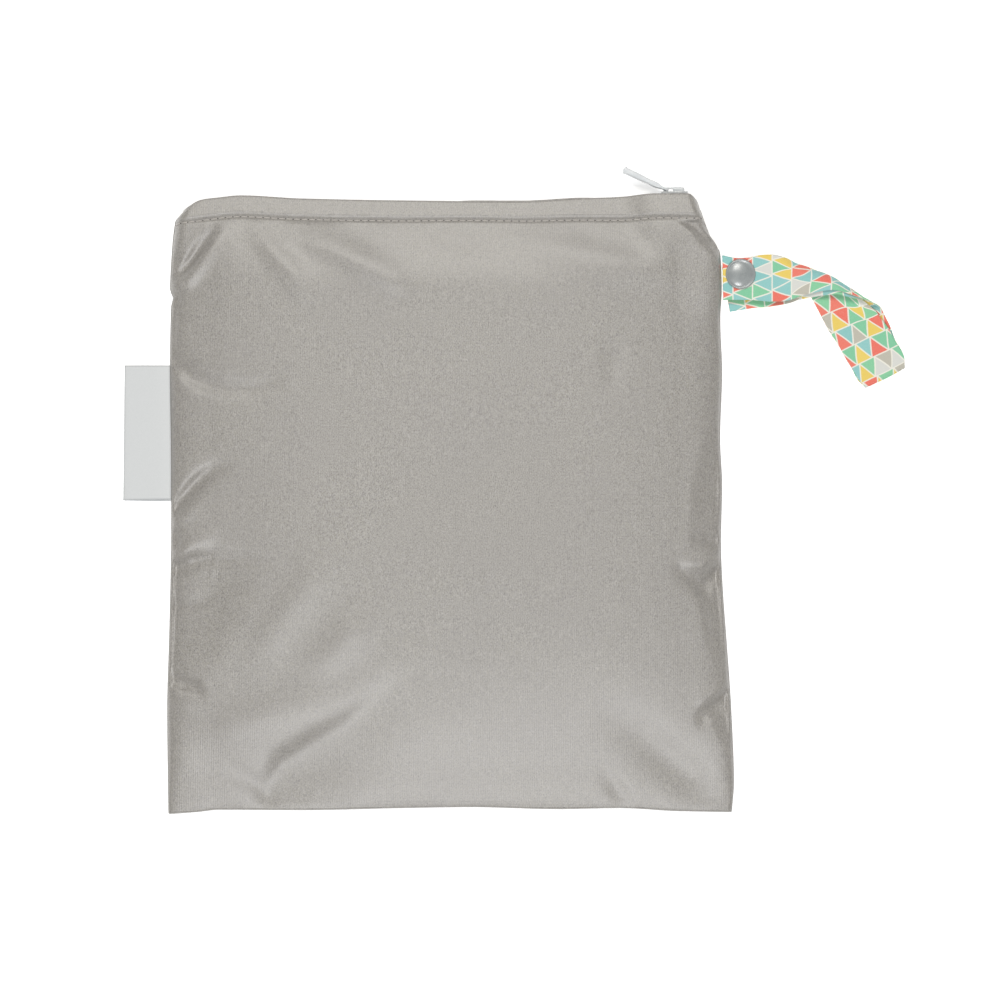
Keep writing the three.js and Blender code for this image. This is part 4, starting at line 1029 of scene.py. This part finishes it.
def strap_band(material):
    """The strap as one fine closed band, a little thinner at its edges and grooved where sewn."""
    along = np.linspace(0, STRAP_LENGTH, STRAP_STATIONS)[:, None]
    edge = np.sin(0.5 * math.pi * np.linspace(-1, 1, STRAP_ACROSS))
    from_fold = np.abs(along - FRONT_LEAF["length"] - 0.5 * STRAP_FOLD_LENGTH)
    corner = CORNER_TAKEN * (1 - smoothstep(from_fold, 0.5, 6.5))
    across = (0.5 * STRAP_WIDTH - corner) * edge[None]
    from_edge = 0.5 * STRAP_WIDTH - corner - np.abs(across)
    rounded = np.sqrt(1 - (1 - np.clip(from_edge / STRAP_EDGE_ROUND, 0.06, 1)) ** 2)
    groove = STRAP_GROOVE * np.exp(-(((from_edge - STRAP_GROOVE_INSET) / 0.5) ** 2))
    half = 0.5 * STRAP_THICKNESS * rounded - groove
    middle = strap_points(along, across)
    normal = strap_normals(along, across)
    ripple = STRAP_RIPPLE * soft_noise(along, across + 0 * along, 6.0, 91)
    over = middle + normal * (half + ripple * rounded)[..., None]
    under = middle - normal * (half - ripple * rounded)[..., None]
    s = np.broadcast_to(along, middle.shape[:2])
    t = np.broadcast_to(across, middle.shape[:2])
    over_uv = np.stack([s, t], -1)
    under_uv = np.stack([s + PRINT_UNDER_SHIFT, -t], -1)[:, ::-1]
    uv = np.concatenate([over_uv, under_uv], 1) * METRES
    piece = band_piece("strap_band", over, under, material, uv.reshape(-1, 2))
    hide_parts("strap")
    return piece


# Round snap pieces

SNAP_SIDES = 72


def turned_piece(name, node, profile, z, material):
    """A solid turned about the snap's middle, from rows of (radius, height)."""
    profile = np.array(profile, float)
    angle = np.arange(SNAP_SIDES) * 2 * math.pi / SNAP_SIDES
    ring = np.stack(
        [
            SNAP_X + profile[:, :1] * np.cos(angle),
            SNAP_Y + profile[:, :1] * np.sin(angle),
            np.broadcast_to(z + profile[:, 1:], (len(profile), SNAP_SIDES)),
        ],
        -1,
    )
    faces = tube_faces(len(profile), SNAP_SIDES, 0)
    piece = make_piece(name, ring.reshape(-1, 3), faces, material)
    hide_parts(node)


def arc(centre, radius, start, end, count):
    """Points (radius, height) on an arc, angles in degrees."""
    turn = np.radians(np.linspace(start, end, count))
    return [(centre[0] + radius * math.cos(t), centre[1] + radius * math.sin(t)) for t in turn]


def cap_profile(diameter, thickness):
    radius = diameter / 2
    rim = thickness / 2
    return [
        (0.05, 0.0),
        (radius - rim, 0.0),
        *arc((radius - rim, rim), rim, -80, 100, 10),
        *arc((radius - 2.4 * rim, thickness * 0.98), rim * 0.5, -60, -120, 4),
        (radius * 0.62, thickness * 1.02),
        (radius * 0.5, thickness * 1.14),
        (radius * 0.3, thickness * 1.27),
        (radius * 0.14, thickness * 1.33),
        (0.05, thickness * 1.35),
    ]


def snap_pieces(material):
    cap = cap_profile(CAP_DIAMETER, CAP_THICKNESS)
    turned_piece("snap_cap_disc", "snap_cap", cap, CAP_Z, material)
    back_cap = cap_profile(BACK_CAP_DIAMETER, BACK_CAP_THICKNESS)
    turned_piece("snap_back_disc", "snap_back_cap", back_cap, 0, material)
    recess = 2.3
    socket = [
        (0.05, STUD_POST_HEIGHT),
        (recess, STUD_POST_HEIGHT),
        (recess, 0.15),
        (recess + 0.25, 0.0),
        (4.2, 0.0),
        *arc((4.7, 0.8), 0.8, -80, 0, 6),
        (5.5, SOCKET_HEIGHT),
        (0.05, SOCKET_HEIGHT),
    ]
    turned_piece("snap_socket_ring", "snap_socket", socket, SOCKET_Z, material)
    stud = [
        (0.05, 0.0),
        (5.5, 0.0),
        (5.5, 0.5),
        *arc((5.0, 0.5), 0.5, 10, 85, 5),
        (1.9, STUD_BASE_HEIGHT),
        (1.7, STUD_BASE_HEIGHT + 0.3),
        (1.98, STUD_BASE_HEIGHT + 0.75),
        (1.8, STUD_BASE_HEIGHT + 1.1),
        (1.3, STUD_BASE_HEIGHT + STUD_POST_HEIGHT),
        (0.05, STUD_BASE_HEIGHT + STUD_POST_HEIGHT),
    ]
    turned_piece("snap_stud_post", "snap_stud", stud, STUD_Z, material)


# The care label

LABEL_CLOTH = 0.42
LABEL_FOLD_RADIUS = 1.0
LABEL_ROWS = 60
LABEL_TOP_LEFT = -163.7
LABEL_BOTTOM_LEFT = -164.4
LABEL_LEAF_ROWS = 14
LABEL_FOLD_ROWS = 8
LABEL_WAVE = 0.18
LABEL_SKEW = 1.6
LABEL_SEAM_END = 0.35
LABEL_LIFT = 0.9
LABEL_DIP = 0.35


def label_band(material):
    """A woven tape folded double over its outer end, its two ends in the left seam."""
    y = np.linspace(-0.5, 0.5, LABEL_ROWS) * LABEL_LENGTH
    share = y / LABEL_LENGTH + 0.5
    seam = left_x((LABEL_CENTRE_Y + y + TOP_LINE) / BODY_HEIGHT) + 0.5
    end = lerp(LABEL_BOTTOM_LEFT, LABEL_TOP_LEFT, share) + LABEL_FOLD_RADIUS
    low = 0.1 + LABEL_CLOTH / 2
    rows = []
    for t in np.linspace(0, 1, LABEL_LEAF_ROWS):
        x = lerp(seam, end, t)
        lift = LABEL_LIFT * (1 - smoothstep(t, 0, LABEL_SEAM_END))
        rows.append((x, low + lift + 0 * x))
    for k in range(1, LABEL_FOLD_ROWS + 1):
        turn = math.pi * k / (LABEL_FOLD_ROWS + 1)
        reach = end - LABEL_FOLD_RADIUS * math.sin(turn)
        rows.append((reach, low + LABEL_FOLD_RADIUS * (1 - math.cos(turn)) + 0 * reach))
    top = low + 2 * LABEL_FOLD_RADIUS
    for t in np.linspace(1, 0, LABEL_LEAF_ROWS):
        x = lerp(seam, end, t)
        wave = LABEL_WAVE * soft_noise(x, LABEL_CENTRE_Y + y, 19.0, 71) * math.sin(math.pi * t)
        dip = LABEL_DIP * (1 - smoothstep(t, 0, LABEL_SEAM_END))
        rows.append((x, top + wave - dip))
    skew = np.linspace(-0.5, 0.25, len(rows))
    sheet = np.stack(
        [
            np.stack([x, LABEL_CENTRE_Y + y + shift * (1 - share) * LABEL_SKEW, z], -1)
            for (x, z), shift in zip(rows, skew)
        ],
        1,
    )
    normal = surface_normals(sheet) * LABEL_CLOTH / 2
    piece = band_piece("care_label_cloth", sheet + normal, sheet - normal, material)
    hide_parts("care_label")
    return piece


# Materials


def new_material(name):
    material = bpy.data.materials.new(name)
    material.use_nodes = True
    tree = material.node_tree
    tree.nodes.clear()
    shader = tree.nodes.new("ShaderNodeBsdfPrincipled")
    output = tree.nodes.new("ShaderNodeOutputMaterial")
    tree.links.new(shader.outputs["BSDF"], output.inputs["Surface"])
    return material, tree, shader


def feed(tree, sockets, inputs):
    """Sets sockets by name or number: to a number or a colour, or linked from an output."""
    for key, value in inputs.items():
        if isinstance(value, bpy.types.NodeSocket):
            tree.links.new(value, sockets[key])
        else:
            sockets[key].default_value = value


def node(tree, kind, inputs=None, **settings):
    """A shader node; inputs are numbers, colours or the outputs that feed them, by socket name."""
    made = tree.nodes.new(kind)
    for key, value in settings.items():
        setattr(made, key, value)
    feed(tree, made.inputs, inputs or {})
    return made


def object_place(tree):
    return node(tree, "ShaderNodeTexCoord").outputs["Object"]


def split(tree, vector):
    return node(tree, "ShaderNodeSeparateXYZ", {"Vector": vector}).outputs


def maths(tree, operation, *values):
    return node(tree, "ShaderNodeMath", dict(enumerate(values)), operation=operation).outputs[0]


def times(tree, a, b):
    return maths(tree, "MULTIPLY", a, b)


def plus(tree, a, b):
    return maths(tree, "ADD", a, b)


def mixed(tree, factor, a, b):
    return node(tree, "ShaderNodeMix", {0: factor, 6: a, 7: b}, data_type="RGBA").outputs[2]


def bump(tree, height, strength, distance):
    """The normal of a bump whose distance is in millimetres."""
    inputs = {"Height": height, "Strength": strength, "Distance": distance * METRES}
    return node(tree, "ShaderNodeBump", inputs).outputs[0]


def srgb(red, green, blue):
    """A colour given as 0 to 255 in sRGB, as linear RGBA."""
    shares = [value / 255 for value in (red, green, blue)]
    linear = [s / 12.92 if s <= 0.04045 else ((s + 0.055) / 1.055) ** 2.4 for s in shares]
    return (*linear, 1.0)


def stretched(tree, source, scale):
    return node(tree, "ShaderNodeMapping", {"Vector": source, "Scale": scale}).outputs[0]


def noise(tree, source, scale, detail=2.0, roughness=0.5):
    made = node(
        tree, "ShaderNodeTexNoise",
        {"Vector": source, "Scale": scale, "Detail": detail, "Roughness": roughness},
    )
    return made.outputs["Fac"]


def spread(tree, value, low, high, to_low=0.0, to_high=1.0):
    made = node(
        tree, "ShaderNodeMapRange",
        {"Value": value, "From Min": low, "From Max": high, "To Min": to_low, "To Max": to_high},
    )
    return made.outputs[0]


WALE_PITCH = 0.9
COURSE_PITCH = 0.7


def knit_material(name, base, dark, light, warm):
    """Heather jersey: fine wales along the bag, flecked yarn and a soft sheen."""
    material, tree, shader = new_material(name)
    place = object_place(tree)
    fleck = noise(tree, stretched(tree, place, (2000, 1250, 2000)), 1.0, 2.0, 0.7)
    streak = noise(tree, stretched(tree, place, (1100, 260, 1100)), 1.0, 2.0, 0.6)
    tinted = noise(tree, stretched(tree, place, (1500, 1100, 1500)), 1.0, 2.0, 0.6)
    cloudy = noise(tree, place, 24.0, 3.0, 0.5)
    parts = split(tree, place)
    wale = maths(tree, "SINE", times(tree, parts[0], 2 * math.pi / (WALE_PITCH * METRES)))
    course_turn = times(tree, parts[1], 2 * math.pi / (COURSE_PITCH * METRES))
    course = maths(tree, "SINE", plus(tree, course_turn, times(tree, wale, 1.2)))
    tone = plus(tree, spread(tree, fleck, 0.3, 0.7), times(tree, streak, 0.45))
    tone = spread(tree, tone, 0.3, 1.15)
    colour = mixed(tree, tone, dark, light)
    colour = mixed(tree, spread(tree, tinted, 0.35, 0.65, 0.0, 0.5), colour, warm)
    colour = mixed(tree, spread(tree, cloudy, 0.3, 0.7, 0.2, 0.4), colour, base)
    loops = times(tree, plus(tree, wale, 1.0), plus(tree, course, 1.4))
    height = plus(tree, times(tree, loops, 0.25), fleck)
    feed(tree, shader.inputs, {
        "Base Color": colour,
        "Normal": bump(tree, height, 0.35, 0.12),
        "Roughness": spread(tree, fleck, 0.3, 0.7, 0.33, 0.46),
        "Sheen Weight": 0.08,
        "Sheen Roughness": 0.45,
        "Specular IOR Level": 0.85,
    })
    return material


def woven_material(name, base, shade, pitch, strength=0.4, roughness=0.8, sheen=0.1):
    """A plain weave: threads over and under in squares of one pitch, the threads that dip under painted
    darker as shade, with random mottling.
    """
    material, tree, shader = new_material(name)
    place = object_place(tree)
    parts = split(tree, place)
    turns = math.pi / (pitch * METRES)
    over = times(tree, *(maths(tree, "SINE", times(tree, parts[i], turns)) for i in range(2)))
    mottled = noise(tree, place, 900.0, 2.0, 0.6)
    # painted shade: the colour goes to the darker tone where the weave dips under, plus random mottling
    factor = plus(tree, spread(tree, over, -1, 1, 0, 0.6), times(tree, mottled, 0.5))
    feed(tree, shader.inputs, {
        "Base Color": mixed(tree, factor, shade, base),
        "Normal": bump(tree, over, strength, 0.06),
        "Roughness": spread(tree, mottled, 0.3, 0.7, roughness - 0.08, roughness + 0.05),
        "Sheen Weight": sheen,
    })
    return material


def smooth_material(name, base, tint, roughness, wear_scale=220.0, coat=0.0):
    """Moulded or enamelled: faint mottling in colour, roughness and bump."""
    material, tree, shader = new_material(name)
    place = object_place(tree)
    cloudy = noise(tree, place, wear_scale, 3.0, 0.6)
    fine = noise(tree, place, wear_scale * 12, 2.0, 0.5)
    feed(tree, shader.inputs, {
        "Base Color": mixed(tree, spread(tree, cloudy, 0.35, 0.65), tint, base),
        "Normal": bump(tree, fine, 0.08, 0.05),
        "Roughness": spread(tree, fine, 0.2, 0.8, roughness - 0.06, roughness + 0.08),
        "Coat Weight": coat,
        "Coat Roughness": 0.15,
    })
    return material


PRINT_COLOURS = [
    (240, 104, 84), (238, 206, 84), (124, 204, 160), (132, 198, 196), (190, 186, 172), (128, 206, 158),
    (240, 112, 92), (218, 219, 214), (138, 202, 200), (120, 202, 158), (240, 210, 92),
]
TRIANGLE_HEIGHT = 9.8
TRIANGLE_BASE = 7.6
TRIANGLE_LINE = 0.28
TRIANGLE_LINE_BLUR = 0.3
PRINT_ROW_SHIFT = 0.37
PRINT_THREAD = 0.34
PRINT_SEED = 5.3


def print_material(name):
    """Rows of small triangles in mixed colours on a cream ground, on a close woven cloth."""
    material, tree, shader = new_material(name)
    uv = node(tree, "ShaderNodeUVMap", uv_map="cloth").outputs[0]
    parts = split(tree, uv)
    row_place = maths(tree, "DIVIDE", parts[0], TRIANGLE_HEIGHT * METRES)
    row_place = plus(tree, row_place, 10.5)
    row = maths(tree, "FLOOR", row_place)
    in_row = maths(tree, "FRACT", row_place)
    base_place = maths(tree, "DIVIDE", parts[1], TRIANGLE_BASE * METRES)
    base_place = plus(tree, base_place, times(tree, row, PRINT_ROW_SHIFT))
    lean = times(tree, in_row, 0.5)
    rising = maths(tree, "SUBTRACT", base_place, lean)
    falling = plus(tree, base_place, lean)
    rising_cell, falling_cell = maths(tree, "FLOOR", rising), maths(tree, "FLOOR", falling)
    cell = plus(tree, times(tree, rising_cell, 7.31), falling_cell)
    seed = node(
        tree, "ShaderNodeCombineXYZ", {"X": cell, "Y": times(tree, row, 3.7), "Z": PRINT_SEED}
    ).outputs[0]
    picked = node(
        tree, "ShaderNodeTexWhiteNoise", {"Vector": seed}, noise_dimensions="3D"
    ).outputs["Value"]
    ramp = node(tree, "ShaderNodeValToRGB", {0: picked})
    ramp.color_ramp.interpolation = "CONSTANT"
    stops = ramp.color_ramp.elements
    while len(stops) < len(PRINT_COLOURS):
        stops.new(0.5)
    for index, stop in enumerate(stops):
        stop.position = index / len(PRINT_COLOURS)
    for stop, colour in zip(stops, PRINT_COLOURS):
        stop.color = srgb(*colour)

    def from_line(value, size):
        share = maths(tree, "FRACT", value)
        nearer = maths(tree, "MINIMUM", share, maths(tree, "SUBTRACT", 1.0, share))
        return times(tree, nearer, size)

    slant = TRIANGLE_BASE * TRIANGLE_HEIGHT / math.hypot(TRIANGLE_HEIGHT, TRIANGLE_BASE / 2)
    nearest = maths(tree, "MINIMUM", from_line(rising, slant), from_line(falling, slant))
    nearest = maths(tree, "MINIMUM", nearest, from_line(row_place, TRIANGLE_HEIGHT))
    place = object_place(tree)
    ragged = times(tree, noise(tree, place, 1400.0, 2.0, 0.6), 0.25)
    inside = spread(tree, plus(tree, nearest, ragged), TRIANGLE_LINE, TRIANGLE_LINE + TRIANGLE_LINE_BLUR)
    inked = mixed(tree, inside, srgb(240, 238, 226), ramp.outputs[0])
    fibre = noise(tree, place, 2600.0, 2.0, 0.7)
    inked = mixed(tree, spread(tree, fibre, 0.2, 0.8, 0.16, 0.0), inked, srgb(250, 248, 240))
    turns = math.pi / (PRINT_THREAD * METRES)
    threads = times(tree, *(maths(tree, "SINE", times(tree, parts[i], turns)) for i in range(2)))
    feed(tree, shader.inputs, {
        "Base Color": inked,
        "Normal": bump(tree, plus(tree, threads, fibre), 0.3, 0.05),
        "Roughness": spread(tree, fibre, 0.2, 0.8, 0.75, 0.9),
        "Sheen Weight": 0.1,
    })
    return material


# The pieces

knit = knit_material(
    "knit_heather", srgb(150, 146, 144), srgb(108, 105, 103), srgb(190, 186, 182), srgb(162, 158, 142)
)
# the second colour of each woven look is painted shade for the dips of the weave
thread = woven_material("hem_thread", srgb(214, 210, 204), srgb(182, 176, 170), 0.3)
# painted shade: a dark matte look for the shadow in the hem's needle holes
hole_shade_look = smooth_material("hole_shade_paint", srgb(96, 92, 88), srgb(78, 74, 70), 0.9)
tape_cloth = woven_material("tape_cloth", srgb(226, 224, 216), srgb(196, 192, 184), 0.5)
coil_nylon = smooth_material("coil_nylon", srgb(236, 236, 232), srgb(222, 222, 216), 0.42)
enamel = smooth_material("white_enamel", srgb(226, 229, 231), srgb(214, 218, 221), 0.3, coat=0.3)
grey_resin = smooth_material("snap_resin", srgb(160, 165, 165), srgb(146, 151, 152), 0.26, coat=0.3)
label_cloth = woven_material("label_satin", srgb(219, 221, 222), srgb(203, 206, 207), 0.28, 0.25, 0.62, 0.1)
triangle_print = print_material("triangle_print")

shell = pouch_shell(knit)
hem_stitches("front", front_surface, 1, thread, hole_shade_look)
hem_stitches("back", back_surface, -1, thread, hole_shade_look)
zipper_coils(coil_nylon)
tape_front = zipper_tape("front", tape_cloth)
tape_back = zipper_tape("back", tape_cloth)
rounded_copy("zipper_slider", "slider_body", "bag", 0.25, enamel)
rounded_copy("zipper_pull", "pull_tab", "pull", 0.22, enamel)
moulded_bars("pull_grip", "pull", PULL_PIVOT, PULL_DEGREES, GRIP_BARS, enamel)
moulded_bars("slider_bridge", "bag", BRIDGE_FROM, 0.0, BRIDGE_BARS, enamel)
band = strap_band(triangle_print)
snap_pieces(grey_resin)
label = label_band(label_cloth)


# The floor, the light and the camera

PHOTO_CENTRE = (0.0245, 0.0025)
CAMERA_HEIGHT = 1.8
SENSOR = 36.0
VIEW_WIDTH = 0.5
SUBJECT_HEIGHT = 0.008
FLOOR_GLOW = 0.5
FLOOR_REACH = 3.0
FLOOR_DROP = 0.0002
WORLD_LIGHT = 0.2
SOFTBOX_SIZE = (0.5, 0.6)
SOFTBOX_HEIGHT = 1.8
SOFTBOX_OFF = 0.85


def floor():
    mesh = bpy.data.meshes.new("floor")
    corners = [(-1, -1), (1, -1), (1, 1), (-1, 1)]
    points = [(FLOOR_REACH * x, FLOOR_REACH * y, -FLOOR_DROP) for x, y in corners]
    mesh.from_pydata(points, [], [(0, 1, 2, 3)])
    made = add_object("floor", mesh)
    material, tree, shader = new_material("floor_white")
    feed(tree, shader.inputs, {
        "Base Color": (0.92, 0.92, 0.92, 1),
        "Roughness": 0.9,
        "Emission Color": (1, 1, 1, 1),
        "Emission Strength": FLOOR_GLOW,
    })
    mesh.materials.append(material)


def soft_light(name, x, y, power, tint):
    """A softbox over the floor that faces the middle of the bag."""
    place = (x, y, SOFTBOX_HEIGHT)
    data = bpy.data.lights.new(name, "AREA")
    data.shape = "RECTANGLE"
    data.size, data.size_y = SOFTBOX_SIZE
    data.energy = power
    data.color = tint
    light = add_object(name, data)
    light.location = place
    light.rotation_euler = (-Vector(place)).to_track_quat("-Z", "Y").to_euler()


def world_light(strength):
    world = bpy.data.worlds.new("studio")
    world.use_nodes = True
    world.node_tree.nodes["Background"].inputs["Color"].default_value = (1, 1, 1, 1)
    world.node_tree.nodes["Background"].inputs["Strength"].default_value = strength
    bpy.context.scene.world = world


def camera():
    data = bpy.data.cameras.new("camera")
    data.sensor_width = SENSOR
    data.lens = SENSOR * (CAMERA_HEIGHT - SUBJECT_HEIGHT) / VIEW_WIDTH
    made = add_object("camera", data)
    made.location = (*PHOTO_CENTRE, CAMERA_HEIGHT)
    bpy.context.scene.camera = made


floor()
world_light(WORLD_LIGHT)
soft_light("softbox_top", -0.05, SOFTBOX_OFF, 17, (1.0, 0.98, 0.93))
soft_light("softbox_bottom", 0.0, -SOFTBOX_OFF, 19, (0.985, 0.99, 1.0))
camera()
bpy.context.scene.view_settings.view_transform = "Standard"
